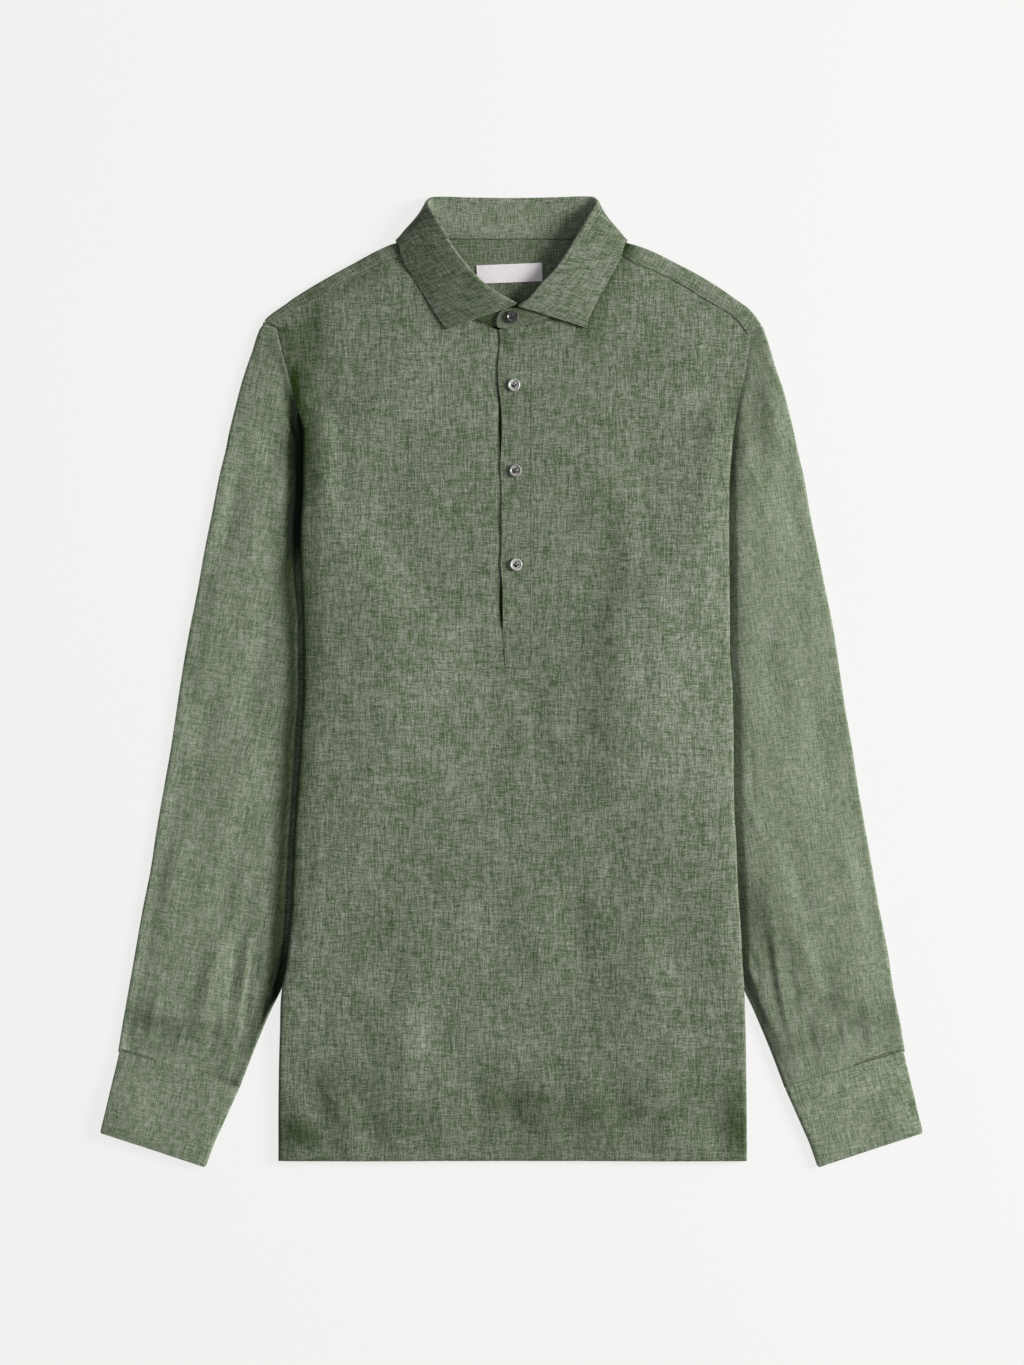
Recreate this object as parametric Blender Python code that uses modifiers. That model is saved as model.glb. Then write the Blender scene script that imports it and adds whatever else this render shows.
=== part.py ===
"""Linen pullover shirt, laid flat on its back with its front up.

Frame: +X is the wearer's left, +Y is towards the collar, +Z is up. The shirt rests on z = 0,
and the origin is the middle of its outline on that surface. Sizes are in millimetres here, and
metres in the scene.

The body's sides are turned under, front and back together, and the inner part of each sleeve
lies under them. From the surface up, a side is: sleeve under layer, sleeve upper layer, front
strip, back strip, back, front.
"""
import bpy
import bmesh
from collections import namedtuple
from math import cos, sin, pi, hypot
from mathutils import Vector

MM = 0.001

# ---------------------------------------------------------------- driving sizes (mm)
CLOTH = 1.1            # wall of the body and the sleeves
FUSED = 1.5            # wall of the collar and the cuffs, which are doubled and fused
PITCH = 1.5            # middle of one lying layer to the middle of the next
SEAM = 0.35            # clearance left at a seam
FOLD = 3.0             # from a turned-under edge in to where its roll ends
UNDER_LIFT = 3.2       # how much a sleeve lying beneath lifts the body's side
STRIP_LIFT = 3.0       # how much the two turned-under strips lift the panels over them
LIFT_RUN = 36.0        # over which such a lift runs out to nothing
SIDE_LOFT = 2.1        # front above back at a turned-under edge
MID_LOFT = 3.4         # front above back across the middle
YOKE_LOFT = 3.8        # front above back at the shoulders
LEAF_LIFT = 3.0        # how much the collar leaf lying beneath lifts the back of the neck
PLACKET = (-9.2, 16.4)         # the slash in the front, from edge to edge
PLACKET_FOOT = 20.8            # where the slash ends
HALF = CLOTH / 2.0

BUTTON_D = 10.2
BUTTON_T = 2.3
HOLE_D = 1.4
HOLE_PITCH = 2.5

# The body, one row a section: y, the turned-under edge on each side, and how wide a strip is
# turned under there. The strip ends at the armhole above the underarm, and at the side seam below.
Body = namedtuple("Body", "y minus plus tuck")
BODY = [
    Body(200.8, -167.6, 178.0, 7.0),
    Body(144.8, -168.4, 174.6, 14.0),
    Body(96.8, -169.2, 174.8, 34.0),
    Body(68.0, -167.4, 174.8, 62.0),
    Body(48.0, -166.2, 175.0, 89.6),
    Body(20.8, -166.6, 175.4, 89.6),
    Body(-15.2, -168.0, 177.2, 89.6),
    Body(-87.2, -172.0, 178.4, 89.6),
    Body(-159.2, -176.0, 181.0, 89.6),
    Body(-223.2, -179.6, 184.6, 89.6),
    Body(-263.2, -185.0, 186.2, 89.6),
    Body(-323.2, -186.5, 187.8, 89.6),
    Body(-383.6, -186.8, 188.6, 89.6),
]
TOP_Y = BODY[0].y
UNDERARM_Y = 48.0
EXIT_Y = -249.6        # where the sleeve comes out from under the body

# The armhole that shows, from the end of the body's sections up to the shoulder seam.
Armhole = namedtuple("Armhole", "minus plus")
ARMHOLE = [
    Armhole((-167.6, 200.8), (178.0, 200.8)),
    Armhole((-172.2, 221.6), (182.0, 221.6)),
    Armhole((-176.4, 242.4), (186.2, 242.4)),
    Armhole((-181.8, 263.2), (189.2, 261.0)),
    Armhole((-186.0, 283.0), (190.8, 277.6)),
]

# The shoulders, from the armhole in to the neck: the fold's edge and the forward seam.
Shoulder = namedtuple("Shoulder", "edge_m seam_m edge_p seam_p")
SHOULDER = [
    Shoulder((-196.8, 288.8), (-186.0, 283.0), (199.4, 286.4), (190.8, 277.6)),
    Shoulder((-175.0, 306.0), (-168.0, 301.5), (180.0, 305.8), (171.0, 297.5)),
    Shoulder((-144.0, 324.6), (-138.0, 317.5), (146.0, 327.0), (139.0, 317.0)),
    Shoulder((-109.0, 344.0), (-103.0, 335.0), (111.0, 344.6), (104.0, 332.6)),
    Shoulder((-92.0, 349.4), (-88.0, 341.0), (92.0, 349.4), (89.0, 339.0)),
    Shoulder((-76.4, 350.4), (-74.0, 345.0), (76.4, 350.4), (74.0, 344.0)),
]
YOKE_Y = 264.8         # the yoke's seam across the back

# The neckline of the front panel, from the forward seam to the slash.
NECK_M = [(-74.0, 345.0), (-63.0, 309.0), (-36.0, 290.0), (PLACKET[0], 281.2)]
NECK_P = [(74.0, 344.0), (63.0, 309.0), (39.0, 291.5), (PLACKET[1], 285.0)]
NECK_BACK_Y = 353.4

# The collar, one row a section round the neck from the back's middle to the front: the stand's
# seam, the roll line, the middle of the leaf and the leaf's edge, and the room inside the roll.
Collar = namedtuple("Collar", "seam roll leaf edge room")
COLLAR_M = [
    Collar((0.0, 354.2, 3.55), (0.0, 388.0, 3.3), (0.0, 366.0, 0.9), (0.0, 343.2, 0.75), 2.1),
    Collar((-33.0, 354.2, 3.55), (-33.0, 388.0, 3.3), (-33.0, 366.0, 0.9), (-33.0, 343.2, 0.75), 2.1),
    Collar((-50.0, 354.2, 3.6), (-50.0, 387.8, 3.7), (-51.0, 365.0, 1.0), (-52.0, 343.4, 0.75), 2.2),
    Collar((-61.0, 354.0, 3.9), (-60.0, 386.2, 5.2), (-64.0, 364.0, 1.6), (-66.0, 344.0, 0.75), 2.6),
    Collar((-68.0, 352.2, 4.8), (-63.4, 380.6, 9.2), (-78.0, 366.0, 3.0), (-82.0, 344.4, 0.78), 3.2),
    Collar((-70.6, 348.0, 6.6), (-61.4, 373.6, 13.4), (-87.0, 363.0, 6.6), (-92.0, 350.6, 1.8), 3.2),
    Collar((-71.4, 343.0, 8.4), (-57.4, 366.0, 16.2), (-82.0, 361.0, 12.2), (-92.5, 352.6, 6.6), 2.8),
    Collar((-70.2, 337.0, 9.2), (-53.0, 358.0, 17.2), (-78.0, 355.0, 14.8), (-90.0, 347.4, 10.4), 2.2),
    Collar((-67.6, 328.0, 8.9), (-47.5, 347.6, 17.0), (-72.0, 342.0, 14.8), (-87.0, 337.0, 10.0), 2.4),
    Collar((-63.6, 318.0, 8.2), (-38.0, 335.2, 15.6), (-63.0, 328.0, 13.6), (-79.6, 322.0, 8.6), 2.8),
    Collar((-53.0, 305.4, 6.8), (-25.2, 320.8, 13.0), (-52.0, 312.6, 12.2), (-69.6, 305.0, 7.4), 3.4),
    Collar((-38.0, 294.0, 5.6), (-12.4, 311.6, 9.4), (-38.0, 301.0, 11.2), (-60.4, 290.4, 7.2), 4.2),
    Collar((-24.0, 288.0, 5.2), (-2.8, 306.0, 7.2), (-28.0, 295.4, 11.0), (-54.4, 282.4, 7.4), 4.3),
    Collar((-14.0, 284.4, 5.0), (4.0, 302.2, 6.4), (-24.0, 292.4, 10.8), (-53.0, 281.4, 7.6), 4.4),
]
COLLAR_P = [
    Collar((33.0, 354.2, 3.55), (33.0, 388.0, 3.3), (33.0, 366.0, 0.9), (33.0, 343.2, 0.75), 2.1),
    Collar((50.0, 354.2, 3.6), (51.0, 388.0, 3.7), (51.0, 365.0, 1.0), (52.0, 343.4, 0.75), 2.2),
    Collar((61.0, 354.0, 3.9), (61.0, 386.6, 5.2), (64.0, 364.0, 1.6), (66.0, 344.0, 0.75), 2.6),
    Collar((68.0, 352.2, 4.8), (64.6, 381.2, 9.2), (78.0, 366.0, 3.0), (82.0, 344.4, 0.78), 3.2),
    Collar((70.6, 348.0, 6.6), (62.4, 374.4, 13.4), (87.0, 363.0, 6.6), (92.0, 350.6, 1.8), 3.2),
    Collar((71.4, 343.0, 8.4), (58.2, 366.8, 16.2), (82.0, 361.0, 12.2), (92.5, 352.6, 6.6), 2.8),
    Collar((70.2, 337.0, 9.2), (52.0, 356.0, 17.2), (78.0, 355.0, 14.8), (90.0, 347.4, 10.4), 2.2),
    Collar((67.6, 328.0, 8.9), (45.0, 344.4, 17.0), (72.0, 341.0, 14.8), (87.0, 337.0, 10.0), 2.4),
    Collar((63.6, 318.0, 8.2), (35.6, 330.6, 16.0), (62.0, 326.0, 13.6), (79.6, 324.0, 9.0), 2.4),
    Collar((53.0, 305.4, 7.0), (24.4, 318.4, 14.0), (50.0, 311.0, 12.4), (70.6, 307.0, 7.6), 2.4),
    Collar((40.0, 295.6, 7.0), (14.0, 306.8, 11.4), (38.0, 301.4, 11.6), (62.0, 291.0, 7.2), 2.4),
    Collar((29.0, 290.6, 7.1), (8.0, 302.4, 10.2), (32.0, 296.6, 10.8), (60.6, 283.4, 7.2), 2.2),
    Collar((22.0, 288.4, 7.2), (4.9, 300.0, 9.4), (29.0, 294.0, 10.4), (60.4, 282.4, 7.3), 2.1),
]
# The stand's two ends, which lap at the front: the seam and the upper edge of each section.
End = namedtuple("End", "seam top")
STAND_UNDER = [
    End((-4.0, 282.6, 4.9), (8.4, 299.0, 5.8)),
    End((5.0, 282.4, 4.8), (12.6, 295.6, 5.2)),
    End((12.6, 284.6, 4.7), (14.4, 292.0, 4.9)),
]
STAND_OVER = [
    End((12.0, 285.2, 7.3), (-1.6, 298.0, 8.3)),
    End((2.0, 283.0, 7.4), (-7.4, 296.2, 8.2)),
    End((-6.0, 282.8, 7.4), (-10.8, 293.2, 8.0)),
    End((-11.0, 283.2, 7.5), (-11.8, 288.4, 7.8)),
]
STAND_SHORT = 5.0      # the stand stops this far below the roll line
EASE = 3               # passes that even out the way the roll faces
LEAF_GAP = 1.5         # more clearance below a wider roll

# A sleeve, one row a section from the cuff to the armhole: its outer and inner edge, how far it
# lies under the body (0 to 1), how much of the armhole's curve it has, and its height at the crest.
Sleeve = namedtuple("Sleeve", "outer inner tucked bend crest")
SLEEVE_M = [
    Sleeve((-315.2, -296.8), (-218.0, -326.4), 0.0, 0.0, 6.0),
    Sleeve((-310.0, -267.2), (-206.0, -295.2), 0.0, 0.0, 7.2),
    Sleeve((-304.4, -235.2), (-193.2, -264.8), 0.2, 0.0, 7.2),
    Sleeve((-298.8, -203.2), (-182.8, -243.2), 1.0, 0.0, 7.0),
    Sleeve((-290.8, -159.2), (-169.2, -203.2), 1.0, 0.0, 7.2),
    Sleeve((-281.2, -101.6), (-151.6, -152.8), 1.0, 0.0, 7.4),
    Sleeve((-269.2, -29.6), (-129.2, -88.8), 1.0, 0.0, 7.6),
    Sleeve((-256.4, 48.8), (-107.6, -26.4), 1.0, 0.1, 8.0),
    Sleeve((-242.8, 120.8), (-90.8, 23.2), 1.0, 0.35, 8.4),
    Sleeve((-228.4, 188.8), (-83.6, 40.0), 1.0, 0.65, 8.2),
    Sleeve((-213.6, 246.4), (-79.6, 46.0), 1.0, 0.9, 7.0),
    Sleeve((-197.4, 288.2), (-77.4, 48.4), 1.0, 1.0, 4.6),
]
SLEEVE_P = [
    Sleeve((315.2, -296.8), (218.8, -326.0), 0.0, 0.0, 6.0),
    Sleeve((309.8, -267.2), (206.8, -294.4), 0.0, 0.0, 7.0),
    Sleeve((304.0, -235.2), (194.0, -264.0), 0.2, 0.0, 7.0),
    Sleeve((298.4, -203.2), (184.6, -243.2), 1.0, 0.0, 6.6),
    Sleeve((290.8, -159.2), (171.0, -203.2), 1.0, 0.0, 6.8),
    Sleeve((280.8, -101.6), (155.0, -152.8), 1.0, 0.0, 7.0),
    Sleeve((268.8, -29.6), (134.0, -88.8), 1.0, 0.0, 7.2),
    Sleeve((257.6, 48.8), (114.0, -26.4), 1.0, 0.1, 7.4),
    Sleeve((243.2, 120.8), (99.0, 23.2), 1.0, 0.35, 7.6),
    Sleeve((228.8, 188.8), (92.0, 40.0), 1.0, 0.65, 7.4),
    Sleeve((216.0, 238.4), (88.4, 46.0), 1.0, 0.9, 6.6),
    Sleeve((200.0, 285.6), (86.2, 48.4), 1.0, 1.0, 4.6),
]
SLEEVE_EDGE = 1.7      # radius of the sleeve's outer edge
SLEEVE_INNER = 2.1     # radius of its inner edge where it lies free
SLEEVE_FLAT = 0.85     # and where it lies under the body

# A cuff, one row a section from the sleeve to its end: outer and inner edge.
Cuff = namedtuple("Cuff", "outer inner")
CUFF_M = [Cuff((-315.4, -297.6), (-218.3, -327.1)), Cuff((-318.9, -312.8), (-224.9, -341.8)),
          Cuff((-322.9, -330.2), (-232.2, -357.8)), Cuff((-326.1, -344.2), (-238.2, -371.0)),
          Cuff((-330.5, -361.2), (-245.8, -388.2))]
CUFF_P = [Cuff((315.4, -297.6), (219.1, -326.7)), Cuff((318.9, -312.8), (225.7, -341.6)),
          Cuff((322.9, -330.2), (232.8, -357.6)), Cuff((326.1, -344.2), (238.6, -370.8)),
          Cuff((330.5, -361.2), (246.0, -388.2))]
CUFF_BUTTON = (315.6, -345.6)  # on either side
CUFF_BUTTON_LIFT = 2.95
CUFF_BUTTON_RUN = 30.0

# The cuff's section: how far across from its outer edge, and the height of the cloth's middle.
# It starts at the end of the under lap and ends at the free edge of the lap, on the under side.
CUFF_SECTION = [(0.36, 2.75), (0.20, 2.75), (0.05, 2.8), (0.018, 4.1), (0.05, 5.4), (0.30, 5.9),
                (0.70, 5.8), (0.955, 5.0), (0.991, 2.9), (0.955, 0.75), (0.62, 0.75), (0.34, 0.75),
                (0.18, 0.75), (0.055, 0.75)]

FRONT_BUTTONS = [(0.8, 291.0), (2.0, 236.8), (3.1, 168.4), (3.6, 93.2)]
LABEL = (-1.6, 326.4, 52.0, 14.4, 0.04)        # middle, width, height and turn (radians)

LINEN = (0.150, 0.185, 0.140, 1.0)
LINEN_DEEP = (0.135, 0.170, 0.125, 1.0)
SHELL = (0.30, 0.31, 0.29, 1.0)
TAPE = (0.72, 0.69, 0.68, 1.0)


# ---------------------------------------------------------------- small helpers
def smooth(t):
    t = min(1.0, max(0.0, t))
    return t * t * (3.0 - 2.0 * t)


def mix(a, b, t):
    return a + (b - a) * t


def mix2(p, q, t):
    return (mix(p[0], q[0], t), mix(p[1], q[1], t))


def along(points, t):
    """The point at fraction t of a polyline's length."""
    runs = [hypot(b[0] - a[0], b[1] - a[1]) for a, b in zip(points, points[1:])]
    left = t * sum(runs)
    for a, b, run in zip(points, points[1:], runs):
        if left <= run or b is points[-1]:
            return mix2(a, b, left / run)
        left -= run


def y_on(points, x):
    """The height of a polyline, whose x only grows or only falls, at x."""
    pts = sorted(points)
    x = min(max(x, pts[0][0]), pts[-1][0])
    for a, b in zip(pts, pts[1:]):
        if x <= b[0]:
            return mix(a[1], b[1], (x - a[0]) / (b[0] - a[0]))
    return pts[-1][1]


def body_at(y):
    rows = BODY
    y = min(max(y, rows[-1].y), rows[0].y)
    for a, b in zip(rows, rows[1:]):
        if y >= b.y:
            t = (a.y - y) / (a.y - b.y)
            return Body(y, mix(a.minus, b.minus, t), mix(a.plus, b.plus, t), mix(a.tuck, b.tuck, t))
    return rows[-1]


# ---------------------------------------------------------------- heights of the lying layers
def sleeve_reach(y):
    """How far in from the body's edge the sleeve beneath it reaches."""
    if y >= UNDERARM_Y:
        return body_at(y).tuck
    return 89.6 * (y - EXIT_Y) / (UNDERARM_Y - EXIT_Y)


def shoulder_fade(y):
    return smooth((222.5 - y) / 21.5)


def lifts(x, y):
    """How much of the sleeve's lift and of the strips' lift is felt at a point."""
    row = body_at(y)
    d = min(x - row.minus, row.plus - x)
    under = smooth((sleeve_reach(y) + 3.0 + LIFT_RUN - d) / LIFT_RUN)
    strip = smooth((row.tuck + 2.0 + LIFT_RUN - d) / LIFT_RUN)
    fade = shoulder_fade(y)
    return under * fade, strip * fade, d, row.tuck


def neck_lift(x, y):
    return LEAF_LIFT * smooth((y - 292.0) / 38.0) * smooth((132.0 - abs(x)) / 36.0)


def strip_z(x, y):
    """Middle of the front's turned-under strip."""
    under, _, _, _ = lifts(x, y)
    return HALF + UNDER_LIFT * under


def back_z(x, y):
    under, strip, _, _ = lifts(x, y)
    return HALF + UNDER_LIFT * under + STRIP_LIFT * strip + neck_lift(x, y)


def front_z(x, y):
    _, _, d, tuck = lifts(x, y)
    low = mix(SIDE_LOFT, MID_LOFT, smooth((d - FOLD) / (tuck + 10.0)))
    loft = mix(low, YOKE_LOFT, smooth((y - TOP_Y) / 40.0))
    return back_z(x, y) + loft


# ---------------------------------------------------------------- building
def material(name, colour, roughness):
    m = bpy.data.materials.new(name)
    m.use_nodes = True
    shader = m.node_tree.nodes["Principled BSDF"]
    shader.inputs["Base Color"].default_value = colour
    shader.inputs["Roughness"].default_value = roughness
    shader.inputs["Metallic"].default_value = 0.0
    m.diffuse_color = colour
    return m


def place(name, mesh, colour, roughness):
    obj = bpy.data.objects.new(name, mesh)
    parts.objects.link(obj)
    obj.data.materials.append(material(name, colour, roughness))
    obj.data.shade_smooth()
    return obj


def cloth(name, grid, wall, colour, ring=False, skip=None):
    """A sheet through a grid of points, given its wall by Solidify."""
    bm = bmesh.new()
    rows = [[None if p is None else bm.verts.new(Vector(p) * MM) for p in row] for row in grid]
    for j in range(len(rows) - 1):
        wide = len(rows[j])
        for i in range(wide if ring else wide - 1):
            k = (i + 1) % wide
            corner = (rows[j][i], rows[j][k], rows[j + 1][k], rows[j + 1][i])
            if None in corner or (skip and skip(i, j)):
                continue
            bm.faces.new(corner)
    loose = [v for v in bm.verts if not v.link_faces]
    bmesh.ops.delete(bm, geom=loose, context="VERTS")
    bmesh.ops.recalc_face_normals(bm, faces=bm.faces)
    mesh = bpy.data.meshes.new(name)
    bm.to_mesh(mesh)
    bm.free()
    obj = place(name, mesh, colour, 0.85)
    wall_mod = obj.modifiers.new("wall", "SOLIDIFY")
    wall_mod.thickness = wall * MM
    wall_mod.offset = 0.0
    wall_mod.use_even_offset = True
    wall_mod.use_rim = True
    return obj


# ---------------------------------------------------------------- the body panels
def strip_steps(row):
    """Distances in from the turned-under edge: two of them bracket the sleeve's inner edge."""
    near = min(max(sleeve_reach(row.y) + 3.5, FOLD + 1.2), row.tuck - 2.4)
    far = min(max(sleeve_reach(row.y) + 3.5 + LIFT_RUN * 0.5, near + 1.2), row.tuck - 1.2)
    return [FOLD, near, far, row.tuck]


def side_columns(row, side):
    """The panel's columns from a turned-under edge in to the slash."""
    edge = row.minus if side < 0 else row.plus
    slash = PLACKET[0] if side < 0 else PLACKET[1]
    steps = strip_steps(row) + [row.tuck + LIFT_RUN * 0.5, row.tuck + LIFT_RUN + 2.0]
    xs = [edge - side * d for d in steps]
    inner = xs[-1]
    return xs + [mix(inner, slash, t) for t in (0.33, 0.67, 1.0)]


def turned_side(row, side, room, strip_of, panel_of, arc):
    """From the strip's inner end, out and round the turned-under edge, up to the panel."""
    edge = row.minus if side < 0 else row.plus
    pts = []
    for d in reversed(strip_steps(row)):
        x = edge - side * d
        pts.append((x, row.y, strip_of(x, row.y)))
    x0 = edge - side * FOLD
    low, high = strip_of(x0, row.y), panel_of(x0, row.y)
    for n in range(1, arc):
        a = pi * n / arc
        pts.append((x0 + side * (FOLD - room) * sin(a), row.y,
                    (low + high) / 2.0 - (high - low) / 2.0 * cos(a)))
    return pts


def section(row, room, strip_of, panel_of, arc):
    left = turned_side(row, -1, room, strip_of, panel_of, arc)
    right = turned_side(row, +1, room, strip_of, panel_of, arc)
    xs = side_columns(row, -1) + side_columns(row, +1)[::-1]
    return left + [(x, row.y, panel_of(x, row.y)) for x in xs] + right[::-1]


def upper_rows(tops_m, tops_p, steps, height):
    """The rows above the sections, which end at a seam and keep the armhole's curve."""
    base = BODY[0]
    low_m, low_p = side_columns(base, -1), side_columns(base, +1)
    arm_m = [a.minus for a in ARMHOLE]
    arm_p = [a.plus for a in ARMHOLE]
    rows = []
    for t in steps:
        row = []
        for lows, tops, arm in ((low_m, tops_m, arm_m), (low_p, tops_p, arm_p)):
            n = len(lows) - 1
            stretch = [p for p in arm if p[1] < tops[0][1] - 0.5] + [tops[0]]
            side = []
            for i, (x, top) in enumerate(zip(lows, tops)):
                straight = mix2((x, base.y), top, t)
                curve = along(stretch, t)
                chord = mix2(arm[0], tops[0], t)
                pull = (1.0 - i / n) ** 2
                side.append((straight[0] + (curve[0] - chord[0]) * pull,
                             straight[1] + (curve[1] - chord[1]) * pull))
            row.append(side)
        flat = row[0] + row[1][::-1]
        rows.append([(x, y, height(x, y)) for x, y in flat])
    return rows


def padded(row, n):
    return [None] * n + row + [None] * n


def shift_down(p):
    return (p[0], p[1] - SEAM)


def make_front():
    arc = 4
    seam_m = [s.seam_m for s in SHOULDER]
    seam_p = [s.seam_p for s in SHOULDER]
    tops_m = [(x, y_on(seam_m, x)) for x in (-186.0, -178.0, -169.0, -156.0, -118.0, -74.0)] + NECK_M[1:]
    tops_p = [(x, y_on(seam_p, x)) for x in (190.8, 181.0, 171.0, 158.0, 118.0, 74.0)] + NECK_P[1:]
    tops_m = [shift_down(p) for p in tops_m]
    tops_p = [shift_down(p) for p in tops_p]
    upper = upper_rows(tops_m, tops_p, (1.0, 0.75, 0.5, 0.25), front_z)
    side = 4 + arc - 1
    grid = [padded(r, side) for r in upper]
    grid += [section(row, HALF, strip_z, front_z, arc) for row in BODY]
    notch = side + 8
    foot = len(upper) + [row.y for row in BODY].index(PLACKET_FOOT)
    cloth("front", grid, CLOTH, LINEN, skip=lambda i, j: i == notch and j < foot)


def make_back():
    arc = 3
    tops_m = [(x, YOKE_Y) for x in (-182.0, -174.0, -165.0, -152.0, -118.0, -74.0, -50.0, -28.0, PLACKET[0])]
    tops_p = [(x, YOKE_Y) for x in (188.8, 179.0, 169.0, 156.0, 118.0, 74.0, 52.0, 34.0, PLACKET[1])]
    upper = upper_rows(tops_m, tops_p, (1.0, 0.66, 0.33), back_z)
    side = 4 + arc - 1
    strip = lambda x, y: strip_z(x, y) + PITCH
    grid = [padded(r, side) for r in upper]
    grid += [section(row, HALF + PITCH + 0.1, strip, back_z, arc) for row in BODY]
    cloth("back", grid, CLOTH, LINEN_DEEP)


def make_yoke():
    """Back plate, then round each shoulder's fold to the forward seam."""
    radius = YOKE_LOFT / 2.0
    arm_m = [a.minus for a in ARMHOLE]
    arm_p = [a.plus for a in ARMHOLE]
    columns = []

    def shoulder_column(edge, seam, foot_x):
        away = Vector((edge[0] - seam[0], edge[1] - seam[1]))
        away.normalize()
        start = (edge[0] - away.x * (radius + HALF), edge[1] - away.y * (radius + HALF))
        foot = (foot_x, YOKE_Y + SEAM)
        col = []
        for t in (0.0, 0.35, 0.7, 1.0):
            x, y = mix2(foot, start, t)
            col.append((x, y, back_z(x, y)))
        low = back_z(*start)
        for n in (1, 2):
            a = pi * n / 3.0
            col.append((start[0] + away.x * radius * sin(a), start[1] + away.y * radius * sin(a),
                        low + radius - radius * cos(a)))
        for t in (1.0, 0.0):
            x, y = mix2(seam, start, t)
            if t == 1.0:
                col.append((x, y, low + 2.0 * radius))
            else:
                col.append((x, y, front_z(x, y)))
        return col

    feet_m = (-181.9, -162.0, -134.0, -102.0, -86.0, -70.0)
    feet_p = (188.6, 166.0, 136.0, 104.0, 88.0, 70.0)
    for s, foot in zip(SHOULDER, feet_m):
        columns.append(shoulder_column(s.edge_m, s.seam_m, foot))
    # along the armhole the first column bends with it
    for k, t in ((1, 0.35), (2, 0.7)):
        x, y, z = columns[0][k]
        columns[0][k] = (y_on([(p[1], p[0]) for p in arm_m], y), y, z)
    for x, y in ((-64.0, 352.8), (-44.0, NECK_BACK_Y), (0.0, NECK_BACK_Y), (44.0, NECK_BACK_Y),
                 (64.0, 352.8)):
        col = []
        for t in (0.0, 0.35, 0.7, 1.0):
            px, py = mix2((x * 0.9, YOKE_Y + SEAM), (x, y), t)
            col.append((px, py, back_z(px, py)))
        columns.append(col + [None] * 4)
    first_p = len(columns)
    for s, foot in reversed(list(zip(SHOULDER, feet_p))):
        columns.append(shoulder_column(s.edge_p, s.seam_p, foot))
    for k in (1, 2):
        x, y, z = columns[-1][k]
        columns[-1][k] = (y_on([(p[1], p[0]) for p in arm_p], y), y, z)
    cloth("yoke", columns, CLOTH, LINEN)
    return first_p


# ---------------------------------------------------------------- sleeves and cuffs
def armhole_curve(side):
    """The whole armhole from the shoulder down to the underarm, as it lies."""
    shown = [a.minus if side < 0 else a.plus for a in ARMHOLE][::-1]
    hidden = []
    for row in BODY[1:5]:
        edge = row.minus if side < 0 else row.plus
        hidden.append((edge - side * row.tuck, row.y))
    top = SLEEVE_M[-1].outer if side < 0 else SLEEVE_P[-1].outer
    return [top] + shown + hidden


def make_sleeve(name, stations, side):
    curve = armhole_curve(side)
    grid = []
    for st in stations:
        def at(u):
            p = mix2(st.outer, st.inner, u)
            if st.bend:
                a = along(curve, u)
                c = mix2(curve[0], curve[-1], u)
                p = (p[0] + (a[0] - c[0]) * st.bend, p[1] + (a[1] - c[1]) * st.bend)
            return p

        length = hypot(st.inner[0] - st.outer[0], st.inner[1] - st.outer[1])
        cross = 1.0
        for n in range(401):
            x, y = at(n / 400.0)
            row = body_at(y)
            if (side < 0 and x > row.minus) or (side > 0 and x < row.plus):
                cross = n / 400.0
                break
        cross = min(cross, 0.90)
        head = st is stations[-1]
        crest_u = cross - (6.0 if head else 21.0) / length
        valley_u = cross - (1.5 if head else 5.0) / length
        flat = HALF + 2.0 * SLEEVE_FLAT
        edge_r = SLEEVE_EDGE if not head else 1.6
        inner_r = mix(SLEEVE_INNER, SLEEVE_FLAT, 1.0 if st.tucked >= 1.0 else st.tucked)
        e_u = (edge_r + HALF) / length
        i_u = 1.0 - (inner_r + HALF) / length
        top_us = [e_u, 0.12 * cross, 0.36 * cross, 0.64 * cross, crest_u, valley_u,
                  mix(valley_u, i_u, 0.4), mix(valley_u, i_u, 0.75), i_u]
        c = st.crest
        free = [HALF + 2.0 * edge_r, c * 0.78, c * 0.95, c, c * 0.98, c * 0.92, c * 0.86, c * 0.76,
                HALF + 2.0 * inner_r]
        held = [HALF + 2.0 * edge_r, c * 0.74, c * 0.88, c * 0.95, c, flat + 0.1, flat, flat,
                HALF + 2.0 * inner_r]
        if head:
            held = [4.2, 4.4, 4.4, 4.4, 3.8, 2.5, flat, flat, flat]
        ring = []
        for k, u in enumerate(top_us):
            x, y = at(u)
            ring.append((x, y, mix(free[k], held[k], st.tucked)))
        x, y = at(1.0 - HALF / length)
        ring.append((x, y, HALF + inner_r))
        for u in (i_u, mix(valley_u, i_u, 0.5), crest_u, 0.64 * cross, 0.30 * cross, e_u):
            x, y = at(u)
            ring.append((x, y, HALF))
        x, y = at(HALF / length)
        ring.append((x, y, HALF + edge_r))
        grid.append(ring)
    cloth(name, grid, CLOTH, LINEN, ring=True)


def cuff_lift(x, y, side):
    d = hypot(x - side * CUFF_BUTTON[0], y - CUFF_BUTTON[1])
    return CUFF_BUTTON_LIFT * smooth((CUFF_BUTTON_RUN + 8.0 - d) / CUFF_BUTTON_RUN)


def make_cuff(name, stations, side):
    grid = []
    for st in stations:
        row = []
        for u, z in CUFF_SECTION:
            x, y = mix2(st.outer, st.inner, u)
            row.append((x, y, z + cuff_lift(x, y, side)))
        grid.append(row)
    cloth(name, grid, FUSED, LINEN)


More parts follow.
